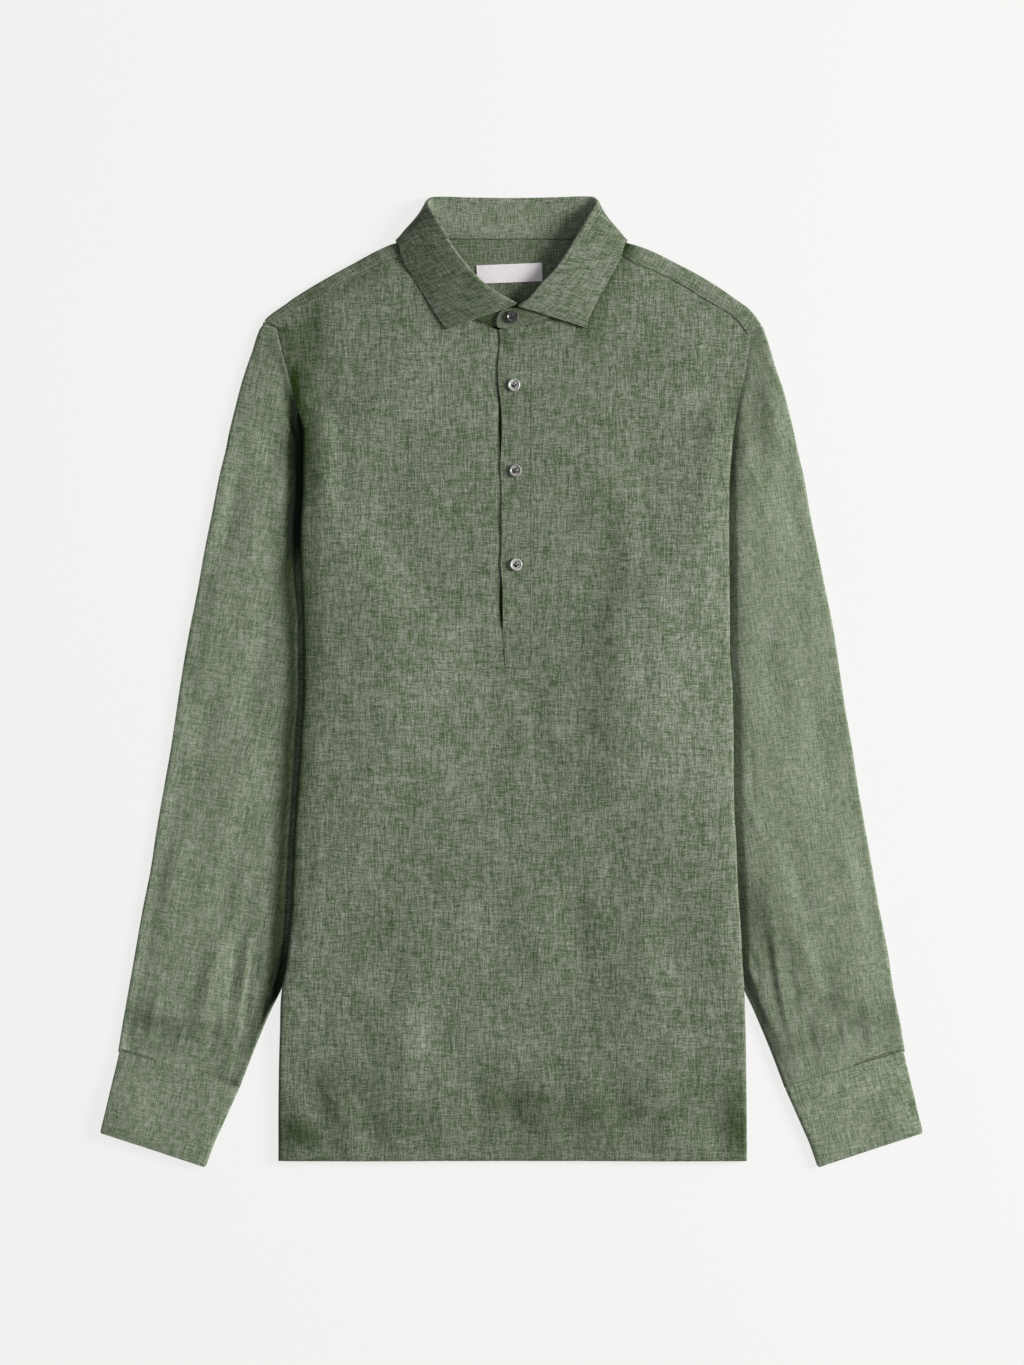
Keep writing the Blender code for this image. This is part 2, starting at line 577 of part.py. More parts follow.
# ---------------------------------------------------------------- collar
def collar_sections():
    rows = COLLAR_M[::-1] + COLLAR_P
    out = []
    for k, c in enumerate(rows):
        before, after = rows[max(k - 1, 0)], rows[min(k + 1, len(rows) - 1)]
        seam, roll, leaf, edge = Vector(c.seam), Vector(c.roll), Vector(c.leaf), Vector(c.edge)
        run = (Vector(before.seam) + Vector(before.roll)) - (Vector(after.seam) + Vector(after.roll))
        rise = roll - seam
        outward = run.cross(rise).normalized()
        up = rise.normalized()
        out.append((seam, roll, leaf, edge, up, outward, c.room))
    for _ in range(EASE):
        eased = []
        for k, row in enumerate(out):
            near = out[max(k - 1, 0)][5] + row[5] * 2.0 + out[min(k + 1, len(out) - 1)][5]
            near = near - row[4] * near.dot(row[4])
            eased.append(row[:5] + (near.normalized(), row[6]))
        out = eased
    return out


def make_stand():
    grid = []
    for seam, roll, _, _, up, _, _ in collar_sections():
        top = roll - up * STAND_SHORT
        grid.append([tuple(seam), tuple((seam + top) / 2.0), tuple(top)])
    ends = []
    for group in (STAND_UNDER, STAND_OVER):
        rows = []
        for e in group:
            s, t = Vector(e.seam), Vector(e.top)
            rows.append([tuple(s), tuple((s + t) / 2.0), tuple(t)])
        ends.append(rows)
    grid = ends[0][::-1] + grid + ends[1]
    cloth("collar_stand", grid, FUSED, LINEN)


def make_leaf():
    grid = []
    for seam, roll, leaf, edge, up, outward, room in collar_sections():
        inner = roll - up * (room / 2.0)
        start = roll - up * (STAND_SHORT - 0.8 - min((room - 2.1) * 1.3, LEAF_GAP))
        outer = inner + outward * room
        centre = (inner + outer) / 2.0
        row = [tuple(start), tuple(inner)]
        for n in (1, 2):
            a = pi * n / 3.0
            row.append(tuple(centre - outward * (room / 2.0) * cos(a) + up * (room / 2.0) * sin(a)))
        row.append(tuple(outer))
        for t in (0.34, 0.67, 1.0):
            p = outer * (1 - t) ** 2 + leaf * (2 * t * (1 - t)) + edge * t * t
            row.append(tuple(p))
        grid.append(row)
    cloth("collar_leaf", grid, FUSED, LINEN)


# ---------------------------------------------------------------- placket, label, buttons
def band(name, x0, x1, tops, foot, above, wall):
    ys = [tops[1]] + [y for y in (255.0, 225.0, 200.8, 170.0, 140.0, 110.0, 80.0, 50.0, 30.0)] + [foot]
    grid = []
    for k, y in enumerate(ys):
        row = []
        for f, top in zip((0.0, 0.5, 1.0), tops):
            x = mix(x0, x1, f)
            yy = top if k == 0 else y
            row.append((x, yy, front_z(x, yy) + above))
        grid.append(row)
    cloth(name, grid, wall, LINEN)


def make_label():
    cx, cy, wide, high, turn = LABEL
    grid = []
    for v in (-0.5, 0.0, 0.5):
        row = []
        for u in (-0.5, -0.17, 0.17, 0.5):
            x = cx + u * wide * cos(turn) - v * high * sin(turn)
            y = cy + u * wide * sin(turn) + v * high * cos(turn)
            row.append((x, y, back_z(x, y) + HALF + 0.4 + 0.5))
        grid.append(row)
    cloth("label", grid, 1.0, TAPE)


def make_button(name, x, y, base, up=1.0):
    """A disc with a rim, a sunk middle and four holes, its face up or down."""
    r, t = BUTTON_D / 2.0, BUTTON_T
    bm = bmesh.new()
    bmesh.ops.create_cone(bm, cap_ends=True, segments=16, radius1=r * 0.88 * MM, radius2=r * MM,
                          depth=t * 0.4 * MM)
    top = max(bm.faces, key=lambda f: f.calc_center_median().z)

    def ring(scale, rise):
        out = bmesh.ops.extrude_face_region(bm, geom=[top_face[0]])
        verts = [g for g in out["geom"] if isinstance(g, bmesh.types.BMVert)]
        faces = [g for g in out["geom"] if isinstance(g, bmesh.types.BMFace)]
        for v in verts:
            v.co.x *= scale
            v.co.y *= scale
            v.co.z += rise * MM
        bmesh.ops.delete(bm, geom=[top_face[0]], context="FACES_ONLY")
        top_face[0] = faces[0]

    top_face = [top]
    ring(1.0, t * 0.35)
    ring(0.88, t * 0.25)
    ring(0.78, 0.0)
    ring(0.86, -0.5)
    bmesh.ops.translate(bm, verts=bm.verts, vec=(0.0, 0.0, t * 0.2 * MM))
    if up < 0:
        for v in bm.verts:
            v.co.y, v.co.z = -v.co.y, -v.co.z
    bmesh.ops.recalc_face_normals(bm, faces=bm.faces)
    mesh = bpy.data.meshes.new(name)
    bm.to_mesh(mesh)
    bm.free()
    obj = place(name, mesh, SHELL, 0.35)
    for i, (hx, hy) in enumerate(((1, 1), (-1, 1), (-1, -1), (1, -1))):
        bpy.ops.mesh.primitive_cylinder_add(vertices=8, radius=HOLE_D / 2.0 * MM, depth=12.0 * MM)
        drill = bpy.context.object
        drill.name = "cut_%s_%d" % (name, i)
        for c in list(drill.users_collection):
            c.objects.unlink(drill)
        cutters.objects.link(drill)
        drill.hide_render = True
        drill.display_type = "WIRE"
        drill.location = (hx * HOLE_PITCH / 2.0 * MM, hy * HOLE_PITCH / 2.0 * MM, 0.0)
        drill.parent = obj
        cut = obj.modifiers.new("hole", "BOOLEAN")
        cut.operation = "DIFFERENCE"
        cut.object = drill
    obj.location = (x * MM, y * MM, (base if up > 0 else base + t) * MM)
    return obj


# ---------------------------------------------------------------- the shirt
for old in list(bpy.data.objects):
    bpy.data.objects.remove(old, do_unlink=True)
parts = bpy.data.collections.new("linen_shirt")
cutters = bpy.data.collections.new("cutters")
bpy.context.scene.collection.children.link(parts)
bpy.context.scene.collection.children.link(cutters)

make_front()
make_back()
make_yoke()
make_sleeve("sleeve_right", SLEEVE_M, -1)
make_sleeve("sleeve_left", SLEEVE_P, +1)
make_cuff("cuff_right", CUFF_M, -1)
make_cuff("cuff_left", CUFF_P, +1)
make_stand()
make_leaf()
band("placket_over", -8.8, 17.2, (280.4, 281.2, 284.6), 10.4, PITCH, CLOTH)
band("placket_under", -11.2, 15.0, (279.6, 280.6, 283.4), 14.0, -PITCH, CLOTH)
make_label()

stand_top = 9.5
for k, (bx, by) in enumerate(FRONT_BUTTONS):
    base = stand_top if k == 0 else front_z(bx, by) + PITCH + HALF + 0.35
    make_button("button_%d" % (k + 1), bx, by, base)
make_button("cuff_button_right", -CUFF_BUTTON[0], CUFF_BUTTON[1], 0.0, up=-1.0)
make_button("cuff_button_left", CUFF_BUTTON[0], CUFF_BUTTON[1], 0.0, up=-1.0)
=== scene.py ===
"""Linen pullover shirt, laid flat on its back with its front up.

The cloth pieces follow the frame's solids as thin shells on a finer grid, with the creases of
the laid shirt placed one by one. Sizes here are in millimetres unless a line says otherwise.
"""
from collections import namedtuple
from math import cos, sin, pi, hypot, atan2, radians

import bpy
import bmesh
import numpy as np
from mathutils import Vector, Matrix


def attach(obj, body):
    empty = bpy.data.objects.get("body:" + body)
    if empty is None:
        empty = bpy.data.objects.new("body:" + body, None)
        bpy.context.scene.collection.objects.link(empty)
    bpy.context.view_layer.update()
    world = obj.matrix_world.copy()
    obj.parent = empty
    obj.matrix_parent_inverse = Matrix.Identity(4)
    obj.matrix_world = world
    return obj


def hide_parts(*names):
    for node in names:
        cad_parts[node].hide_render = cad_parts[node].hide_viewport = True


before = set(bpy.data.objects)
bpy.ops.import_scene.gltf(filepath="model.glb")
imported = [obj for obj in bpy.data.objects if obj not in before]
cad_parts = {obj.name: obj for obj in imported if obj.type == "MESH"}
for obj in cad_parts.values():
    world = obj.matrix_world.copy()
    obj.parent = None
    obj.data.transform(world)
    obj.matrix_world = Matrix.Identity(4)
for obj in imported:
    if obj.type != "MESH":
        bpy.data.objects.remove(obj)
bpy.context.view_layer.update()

MM = 0.001

# ---------------------------------------------------------------- the frame's sizes (mm)
CLOTH = 0.62           # wall of the linen
FUSED = 1.0            # wall of the doubled pieces
HALF = 0.55            # half the solid's wall, which sets the height of the layers
PITCH = 1.5
SEAM = 0.3
FOLD = 3.0
UNDER_LIFT = 3.2
STRIP_LIFT = 3.0
LIFT_RUN = 36.0
SIDE_LOFT = 2.1
MID_LOFT = 3.4
YOKE_LOFT = 3.8
LEAF_LIFT = 3.0
PLACKET = (-9.2, 16.4)
PLACKET_FOOT = 20.8
STEP = 2.7             # grid of the panels
TOP_Y = 200.8
UNDERARM_Y = 48.0
EXIT_Y = -249.6
HEM_Y = -383.6
YOKE_Y = 264.8

# The body's turned-under edges.
Side = namedtuple("Side", "y minus plus")
SIDE = [
    Side(200.8, -166.4, 178.0), Side(184.8, -166.8, 176.4), Side(168.8, -166.8, 175.2),
    Side(152.8, -166.9, 174.4), Side(120.8, -168.8, 174.2), Side(88.8, -168.9, 174.4),
    Side(56.8, -167.2, 174.8), Side(24.8, -166.8, 174.8), Side(-7.2, -166.6, 176.9),
    Side(-39.2, -168.6, 177.7), Side(-71.2, -170.2, 177.9), Side(-103.2, -172.7, 178.4),
    Side(-135.2, -174.6, 180.2), Side(-167.2, -175.8, 181.2), Side(-199.2, -177.4, 183.6),
    Side(-223.2, -179.6, 184.8), Side(-249.6, -184.2, 186.4), Side(-279.2, -185.4, 187.4),
    Side(-327.2, -186.6, 188.2), Side(-383.6, -186.8, 188.6),
]
# How wide a strip is turned under.
Tuck = namedtuple("Tuck", "y wide")
TUCK = [Tuck(200.8, 7.0), Tuck(144.8, 14.0), Tuck(96.8, 34.0), Tuck(68.0, 62.0), Tuck(48.0, 89.6),
        Tuck(20.8, 89.6), Tuck(-383.6, 89.6)]

ARM_M = [(-166.4, 200.8), (-169.4, 212.0), (-173.6, 228.0), (-177.6, 244.0), (-181.2, 258.6),
         (-184.0, 270.0), (-186.0, 278.0), (-186.2, 283.0)]
ARM_P = [(178.0, 200.8), (180.0, 214.0), (183.4, 230.6), (187.0, 246.0), (189.0, 258.0),
         (190.4, 268.0), (190.8, 277.6)]

# The forward shoulder seams and the neckline of the front.
SEAM_M = [(-186.2, 283.0), (-181.6, 293.6), (-168.0, 301.9), (-147.0, 312.8), (-126.8, 324.0),
          (-106.0, 333.6), (-90.0, 340.0), (-74.0, 345.0)]
SEAM_P = [(190.8, 277.6), (178.4, 292.8), (157.2, 305.6), (136.4, 318.4), (115.6, 328.8),
          (100.4, 334.4), (86.8, 342.4), (74.0, 344.6)]
NECK_M = [(-74.0, 345.0), (-63.0, 309.0), (-36.0, 290.0), (PLACKET[0], 281.2)]
NECK_P = [(74.0, 344.6), (63.0, 309.0), (39.0, 291.5), (PLACKET[1], 285.0)]
NECK_BACK_Y = 353.4

# The shoulders' folds, from the armhole in to the neck.
EDGE_M = [(-198.0, 288.6), (-194.8, 292.0), (-188.4, 296.8), (-181.2, 301.6), (-174.8, 306.4),
          (-159.6, 316.0), (-142.8, 325.6), (-125.2, 335.2), (-106.8, 344.8), (-92.0, 350.6),
          (-76.4, 351.4)]
EDGE_P = [(200.2, 285.4), (195.6, 292.0), (191.6, 296.8), (186.0, 301.6), (178.8, 306.4),
          (165.2, 316.0), (149.2, 325.6), (130.8, 335.2), (110.8, 344.8), (92.0, 350.6),
          (76.4, 351.4)]


# ---------------------------------------------------------------- helpers
def smooth(t):
    t = np.clip(t, 0.0, 1.0)
    return t * t * (3.0 - 2.0 * t)


def mix(a, b, t):
    return a + (b - a) * t


def track(keys, values, fine=24):
    """A smooth curve through a short table, as a function."""
    order = np.argsort(keys)
    k = np.asarray(keys, float)[order]
    v = np.asarray(values, float)[order]
    slope = np.gradient(v, k)
    step = np.diff(v) / np.diff(k)
    for i in range(len(k)):
        near = [s for s in (step[i - 1] if i else None, step[i] if i < len(step) else None)
                if s is not None]
        if len(near) == 2 and near[0] * near[1] <= 0:
            slope[i] = 0.0
        else:
            limit = 3.0 * min(abs(s) for s in near)
            slope[i] = np.clip(slope[i], -limit, limit)
    xs, ys = [], []
    for i in range(len(k) - 1):
        h = k[i + 1] - k[i]
        t = np.arange(fine) / fine
        xs.append(k[i] + h * t)
        ys.append((2 * t**3 - 3 * t**2 + 1) * v[i] + (t**3 - 2 * t**2 + t) * h * slope[i]
                  + (-2 * t**3 + 3 * t**2) * v[i + 1] + (t**3 - t**2) * h * slope[i + 1])
    xs = np.append(np.concatenate(xs), k[-1])
    ys = np.append(np.concatenate(ys), v[-1])
    return lambda q: np.interp(q, xs, ys)


def polyline(points, n, bend=0.5):
    """n points evenly along a Catmull-Rom curve through a short table."""
    p = np.asarray(points, float)
    ext = np.vstack([2 * p[0] - p[1], p, 2 * p[-1] - p[-2]])
    out = []
    for i in range(1, len(ext) - 2):
        a, b, c, d = ext[i - 1], ext[i], ext[i + 1], ext[i + 2]
        m0, m1 = (c - a) * bend, (d - b) * bend
        for t in np.arange(16) / 16.0:
            out.append((2 * t**3 - 3 * t**2 + 1) * b + (t**3 - 2 * t**2 + t) * m0
                       + (-2 * t**3 + 3 * t**2) * c + (t**3 - t**2) * m1)
    out.append(p[-1])
    out = np.array(out)
    run = np.concatenate([[0], np.cumsum(np.linalg.norm(np.diff(out, axis=0), axis=1))])
    want = np.linspace(0, run[-1], n)
    return np.stack([np.interp(want, run, out[:, k]) for k in range(out.shape[1])], axis=1)


def length_of(points):
    p = np.asarray(points, float)
    return float(np.linalg.norm(np.diff(p, axis=0), axis=1).sum())


def drift(x, y, scale, seed):
    """Slow uneven rise and fall, from a fixed random lattice."""
    rng = np.random.RandomState(seed)
    table = rng.uniform(-1, 1, (64, 64))
    u, v = np.asarray(x, float) / scale + 20.3, np.asarray(y, float) / scale + 20.7
    iu, iv = np.floor(u).astype(int), np.floor(v).astype(int)
    fu, fv = u - iu, v - iv
    fu, fv = fu * fu * (3 - 2 * fu), fv * fv * (3 - 2 * fv)
    g = lambda a, b: table[a % 64, b % 64]
    return ((g(iu, iv) * (1 - fu) + g(iu + 1, iv) * fu) * (1 - fv)
            + (g(iu, iv + 1) * (1 - fu) + g(iu + 1, iv + 1) * fu) * fv)


side_minus = track([s.y for s in SIDE], [s.minus for s in SIDE])
side_plus = track([s.y for s in SIDE], [s.plus for s in SIDE])
tuck_of = track([t.y for t in TUCK], [t.wide for t in TUCK])


def clip_y(y):
    return np.clip(y, HEM_Y, TOP_Y)


def reach_of(y):
    """How far in from the body's edge the sleeve beneath it reaches."""
    y = np.asarray(y, float)
    return np.where(y >= UNDERARM_Y, tuck_of(clip_y(y)), 89.6 * (y - EXIT_Y) / (UNDERARM_Y - EXIT_Y))


def lifts(x, y):
    yc = clip_y(y)
    d = np.minimum(x - side_minus(yc), side_plus(yc) - x)
    tuck = tuck_of(yc)
    under = smooth((reach_of(y) + 3.0 + LIFT_RUN - d) / LIFT_RUN)
    strip = smooth((tuck + 2.0 + LIFT_RUN - d) / LIFT_RUN)
    fade = smooth((222.5 - y) / 21.5)
    return under * fade, strip * fade, d, tuck


def neck_lift(x, y):
    return LEAF_LIFT * smooth((y - 292.0) / 38.0) * smooth((132.0 - np.abs(x)) / 36.0)


def strip_z(x, y):
    under, _, _, _ = lifts(x, y)
    return HALF + UNDER_LIFT * under


def back_z(x, y):
    under, strip, _, _ = lifts(x, y)
    return HALF + UNDER_LIFT * under + STRIP_LIFT * strip + neck_lift(x, y)


def front_z(x, y):
    _, _, d, tuck = lifts(x, y)
    low = mix(SIDE_LOFT, MID_LOFT, smooth((d - FOLD) / (tuck + 10.0)))
    loft = mix(low, YOKE_LOFT, smooth((y - TOP_Y) / 40.0))
    return back_z(x, y) + loft


# ---------------------------------------------------------------- creases, placed one by one
# A crease runs from one point to another, bowed to its left by bow. It rises (or sinks, below 0)
# by rise, is wide to either side by width, and leans to its left where lean is above 0.
Crease = namedtuple("Crease", "x0 y0 x1 y1 bow width rise lean")


def creased(x, y, table):
    x, y = np.asarray(x, float), np.asarray(y, float)
    total = np.zeros(np.broadcast(x, y).shape)
    for n, c in enumerate(table):
        dx, dy = c.x1 - c.x0, c.y1 - c.y0
        run = hypot(dx, dy)
        ux, uy = dx / run, dy / run
        t = ((x - c.x0) * ux + (y - c.y0) * uy) / run
        cross = -(x - c.x0) * uy + (y - c.y0) * ux
        tc = np.clip(t, 0, 1)
        cross = cross - c.bow * 4 * tc * (1 - tc)
        end = smooth(t / 0.32) * smooth((1 - t) / 0.32)
        wide = c.width * (0.8 + 0.35 * np.sin(3.1 * tc + n * 1.7) ** 2)
        q = np.clip(cross / wide, -6, 6)
        uneven = 0.82 + 0.28 * np.sin(5.3 * tc + 2.1 * n)
        total += c.rise * np.exp(-q * q) * (1 + c.lean * q) * end * uneven
    return total


# The front, as it shows: x0, y0, x1, y1, bow, width, rise, lean
FRONT_CREASES = [
    # from the shoulders and the armholes
    Crease(-162, 262, -128, 196, -6, 9, -0.9, 0.2),
    Crease(-176, 226, -150, 160, 4, 7, -0.9, 0.3),
    Crease(-158, 212, -136, 120, -5, 10, 0.9, 0.2),
    Crease(168, 262, 138, 206, 5, 9, -0.8, -0.2),
    Crease(180, 214, 164, 150, -4, 6, -0.9, -0.3),
    Crease(158, 272, 120, 250, 3, 6, 0.6, 0.3),
    Crease(150, 268, 168, 262, 1, 2.4, -0.5, 0.3),
    Crease(96, 262, 120, 200, 4, 14, 0.7, 0.2),
    Crease(-96, 262, -110, 190, -4, 15, 0.6, -0.2),
    # where the front lies over the turned-under sides
    Crease(84, 176, 74, -60, -6, 17, -1.0, 0.2),
    Crease(106, 150, 108, -90, 5, 18, 1.2, 0.2),
    Crease(70, -40, 84, -250, 5, 18, -0.8, 0.2),
    Crease(-84, 130, -80, -70, 4, 20, -0.7, 0.2),
    Crease(-108, 110, -104, -60, -5, 20, 0.8, 0.2),
    Crease(-76, -60, -92, -230, -6, 20, -0.7, 0.2),
    # from the foot of the placket
    Crease(12, 6, 20, -66, 3, 9, -1.1, 0.3),
    Crease(4, -8, 76, -74, -6, 13, 1.0, 0.3),
    Crease(26, -10, 88, -58, -4, 10, -0.9, 0.2),
    Crease(-6, -20, -30, -110, 4, 14, -0.6, -0.2),
    # the broad swell to the right of the placket, and its fall to the side
    Crease(78, 215, 70, -150, 4, 26, 1.3, 0.5),
    Crease(112, 190, 104, -60, -4, 12, -0.8, 0.2),
    Crease(136, 230, 142, -20, 3, 18, 0.9, 0.4),
    Crease(-140, 240, -146, 120, 3, 13, -0.9, 0.2),
    Crease(-118, 246, -122, 60, -3, 16, 0.8, 0.2),
    # softer troughs and ridges lower down
    Crease(-60, -130, -120, -210, 6, 15, -1.2, 0.2),
    Crease(-30, -150, -84, -262, 8, 16, 1.0, 0.3),
    Crease(-112, -196, -98, -268, 5, 12, -1.3, 0.2),
    Crease(46, -150, 78, -262, -8, 15, -1.3, 0.2),
    Crease(8, -140, 34, -250, -8, 16, 1.0, 0.2),
    Crease(98, -170, 128, -280, -6, 14, 1.0, 0.2),
    Crease(-178, -300, -142, -386, 6, 12, -1.5, 0.3),
    Crease(-160, -312, -120, -392, 4, 10, 1.2, 0.3),
    Crease(-128, -320, -108, -388, 3, 10, -1.0, 0.2),
    Crease(-82, -272, -78, -372, -4, 11, 0.9, 0.2),
    Crease(-62, -284, -54, -380, -4, 12, 1.5, 0.3),
    Crease(-34, -300, -26, -384, 3, 9, -1.1, 0.2),
    Crease(-12, -310, 6, -388, 3, 11, -1.3, 0.2),
    Crease(22, -296, 40, -386, -3, 10, 1.1, 0.2),
    Crease(72, -306, 104, -388, 3, 13, -1.3, 0.2),
    Crease(48, -290, 66, -384, 4, 11, 0.9, 0.2),
    Crease(118, -300, 132, -388, -3, 11, 1.0, 0.2),
    Crease(160, -316, 170, -388, -2, 9, -1.4, 0.2),
    Crease(-150, -352, -96, -366, -3, 6, -0.9, 0.2),
    Crease(-30, -352, 22, -362, 3, 6, -0.9, 0.2),
    Crease(40, -338, 92, -352, -3, 6, 0.8, 0.2),
    Crease(96, -360, 152, -348, 3, 6, -0.8, 0.2),
    Crease(-108, -372, -44, -376, 2, 4, 0.7, 0.2),
    Crease(104, -374, 166, -370, -2, 4, 0.7, 0.2),
    # fine ones
    Crease(143, -312, 186, -306, -2, 2.6, 0.45, 0.2),
    Crease(146, -322, 184, -318, 2, 2.4, -0.4, 0.2),
    Crease(138, -334, 178, -330, -2, 2.8, 0.4, 0.2),
    Crease(150, -344, 184, -341, 1, 2.4, -0.4, 0.2),
    Crease(-165, -198, -148, -201, 1, 2.2, 0.5, 0.2),
    Crease(155, 266, 166, 268, 0.5, 1.8, -0.45, 0.2),
    Crease(182, 288, 196, 262, 1.5, 3, 0.6, 0.2),
    Crease(-168, 92, -158, 10, 2, 4.5, -0.7, 0.3),
    Crease(-172, -92, -162, -190, 2, 5, -0.6, 0.3),
]


def soft_fall(x, y):
    """The slow unevenness of cloth that has been smoothed out by hand."""
    return (0.42 * drift(x, y, 58.0, 3) + 0.30 * drift(x, y * 0.7, 27.0, 5)
            + 0.10 * drift(x * 1.1, y * 0.8, 12.0, 7))


def edge_dip(d, far=13.0, deep=1.5):
    """The panel's roll down towards a turned-under edge."""
    return -deep * np.exp(-np.clip(d, 0, None) / far * 2.2)


def draped_z(x, y):
    """The front's height with the layers' steps beneath it bridged, as cloth bridges them."""
    yc = clip_y(y)
    d = np.minimum(x - side_minus(yc), side_plus(yc) - x)
    own = front_z(x, y)
    total, weight = 0.0, 0.0
    for ring, share in ((0.0, 1.0), (11.0, 1.0), (22.0, 0.9), (34.0, 0.6)):
        for k in range(8 if ring else 1):
            a = pi / 4 * k + ring
            total = total + share * front_z(x + ring * cos(a), y + ring * sin(a))
            weight += share
    free = smooth((d - 5.0) / 26.0) * smooth((300.0 - y) / 40.0)
    return mix(own, np.maximum(total / weight, own - 1.15), free)


def front_top(x, y):
    """The front as it shows, creases and all."""
    x, y = np.asarray(x, float), np.asarray(y, float)
    z = draped_z(x, y)
    yc = clip_y(y)
    d = np.minimum(x - side_minus(yc), side_plus(yc) - x)
    calm = smooth((d - 2.0) / 16.0)
    slit = smooth(np.hypot(np.maximum(np.abs(x - 3.6) - 14.0, 0), np.maximum(15.0 - y, 0)) / 12.0)
    move = 1.5 * creased(x, y, FRONT_CREASES) + 1.2 * soft_fall(x, y) + 0.45
    room = np.where(move < 0, np.tanh(np.abs(move) / 1.25) * 1.25 / np.maximum(np.abs(move), 1e-6), 1.0)
    top_fade = smooth((330.0 - y) / 24.0)
    z = z + move * room * mix(0.25, 1.0, calm) * mix(0.35, 1.0, slit) * top_fade
    return z + np.where(y < TOP_Y + 20, edge_dip(d, 15.0, 0.9), 0.0) * smooth((TOP_Y + 20 - y) / 30.0)


# Where the collar's edge lies over the shirt, and the painted shade on the cloth beside it.
LEAF_LINE_M = [(-92.0, 351.0), (-90.0, 347.4), (-87.0, 337.0), (-79.6, 322.0), (-69.6, 305.0), (-60.4, 290.4),
               (-53.2, 281.2)]
LEAF_LINE_P = [(92.0, 351.0), (90.0, 347.4), (87.0, 337.0), (79.6, 324.0), (70.6, 307.0), (62.4, 291.0),
               (60.6, 282.2)]


def beside(x, y, line, reach):
    """1 on a line and falling away from it over reach."""
    p = polyline(line, 40)
    d2 = np.full(np.shape(x), 1e9)
    for q in p:
        d2 = np.minimum(d2, (x - q[0]) ** 2 + (y - q[1]) ** 2)
    return np.exp(-np.sqrt(d2) / reach)


# Painted shade (above 0) and painted highlight (below 0) on the smoothed cloth, darker or paler than its fellows.
FRONT_PAINTED_SHADE = [
    Crease(-158, 306, -150, 222, 0, 10, 0.28, 0),
    Crease(-185, 312, -164, 192, -2, 7, 0.40, 0), Crease(-172, 296, -158, 222, -2, 9, 0.30, 0),
    Crease(-168, -350, -158, -384, 0, 12, 0.20, 0), Crease(-14, -306, -13, -346, 0, 8, 0.12, 0),
    Crease(42, -330, 42, -368, 0, 8, 0.14, 0), Crease(-62, -306, -61, -346, 0, 7, 0.11, 0),
    Crease(176, -330, 177, -372, 0, 9, 0.20, 0), Crease(-20, -262, 44, -272, 0, 10, 0.12, 0),
    Crease(126, 190, 130, 64, 0, 15, -0.14, 0),
    Crease(-159, 250, -157, -40, 0, 9, 0.22, 0), Crease(-178, 280, -156, 150, -4, 15, 0.30, 0),
    Crease(-176, 262, -163, 196, -3, 6, 0.34, 0), Crease(-186, 290, -176, 256, 0, 8, 0.24, 0),
    Crease(-182, 288, -90, 336, 0, 6, 0.26, 0), Crease(-178, 288, -126, 294, 0, 8, 0.18, 0), Crease(174, 182, 172.6, 50, 0, 3, 0.22, 0), Crease(185, 268, 178, 176, 0, 5, 0.34, 0), Crease(-150, 312, -118, 300, 0, 8, 0.08, 0),
    Crease(62, 176, 76, -50, 0, 16, 0.15, 0), Crease(132, 262, 130, -170, 0, 32, -0.20, 0),
    Crease(104, 60, 100, -120, 0, 14, -0.10, 0), Crease(6, 8, 84, -80, -5, 9, 0.17, 0),
    Crease(40, -30, 60, -60, 3, 8, 0.10, 0), Crease(-70, 300, -64, 150, 0, 30, -0.08, 0),
    Crease(-112, 200, -118, 20, 0, 16, 0.08, 0), Crease(-100, -120, -104, -230, 0, 14, 0.12, 0),
    Crease(-50, 60, -56, -120, 0, 24, -0.06, 0), Crease(40, -170, 80, -280, 4, 14, 0.14, 0),
    Crease(-420, -350, 420, -350, 0, 30, 0.19, 0), Crease(-206, -360, -138, -364, 0, 14, 0.34, 0),
    Crease(-168, -322, -96, -326, 0, 13, 0.17, 0), Crease(-36, -334, 44, -338, 0, 13, 0.22, 0),
    Crease(6, -377, 70, -378, 0, 5, 0.16, 0), Crease(104, -298, 178, -302, 0, 12, 0.17, 0),
    Crease(180, -306, 186, -400, 0, 11, 0.36, 0), Crease(-72, -230, -66, -366, 0, 11, -0.18, 0),
    Crease(10, -180, 2, -290, 0, 12, -0.10, 0), Crease(112, -310, 112, -390, 0, 9, -0.12, 0),
    Crease(60, -340, 100, -350, 0, 9, 0.13, 0), Crease(-130, -240, -134, -310, 0, 12, -0.07, 0),
    Crease(20, 268, 160, 246, 0, 16, 0.07, 0),
]


def collar_painted_shade(x, y):
    x, y = np.asarray(x, float), np.asarray(y, float)
    # painted shade beside the collar's edges, and a low patch of painted shade below the front of the stand
    near = np.maximum(0.50 * beside(x, y, LEAF_LINE_P, 7.0), 0.34 * beside(x, y, LEAF_LINE_M, 3.2))
    low = 0.34 * np.exp(-(((x - 3.0) / 26.0) ** 2 + ((y - 281.0) / 5.5) ** 2))
    return np.clip(np.maximum(near, low), 0, 1)


# ---------------------------------------------------------------- meshes
def weave_frame(obj, points, across, down):
    """Where each point was on the flat cloth, in metres, for the weave to follow."""
    layer = obj.data.attributes.new("cloth", "FLOAT_VECTOR", "POINT")
    flat = np.zeros((len(points), 3), np.float32)
    flat[:, 0], flat[:, 1] = across, down
    layer.data.foreach_set("vector", flat.ravel())


def painted_shade_layer(obj, values):
    """Painted shade at each point, from 0 to 1, and painted highlight where it is below 0, for the colour to darken or
    lighten by.
    """
    layer = obj.data.attributes.new("depth", "FLOAT", "POINT")
    layer.data.foreach_set("value", np.asarray(values, np.float32).ravel())


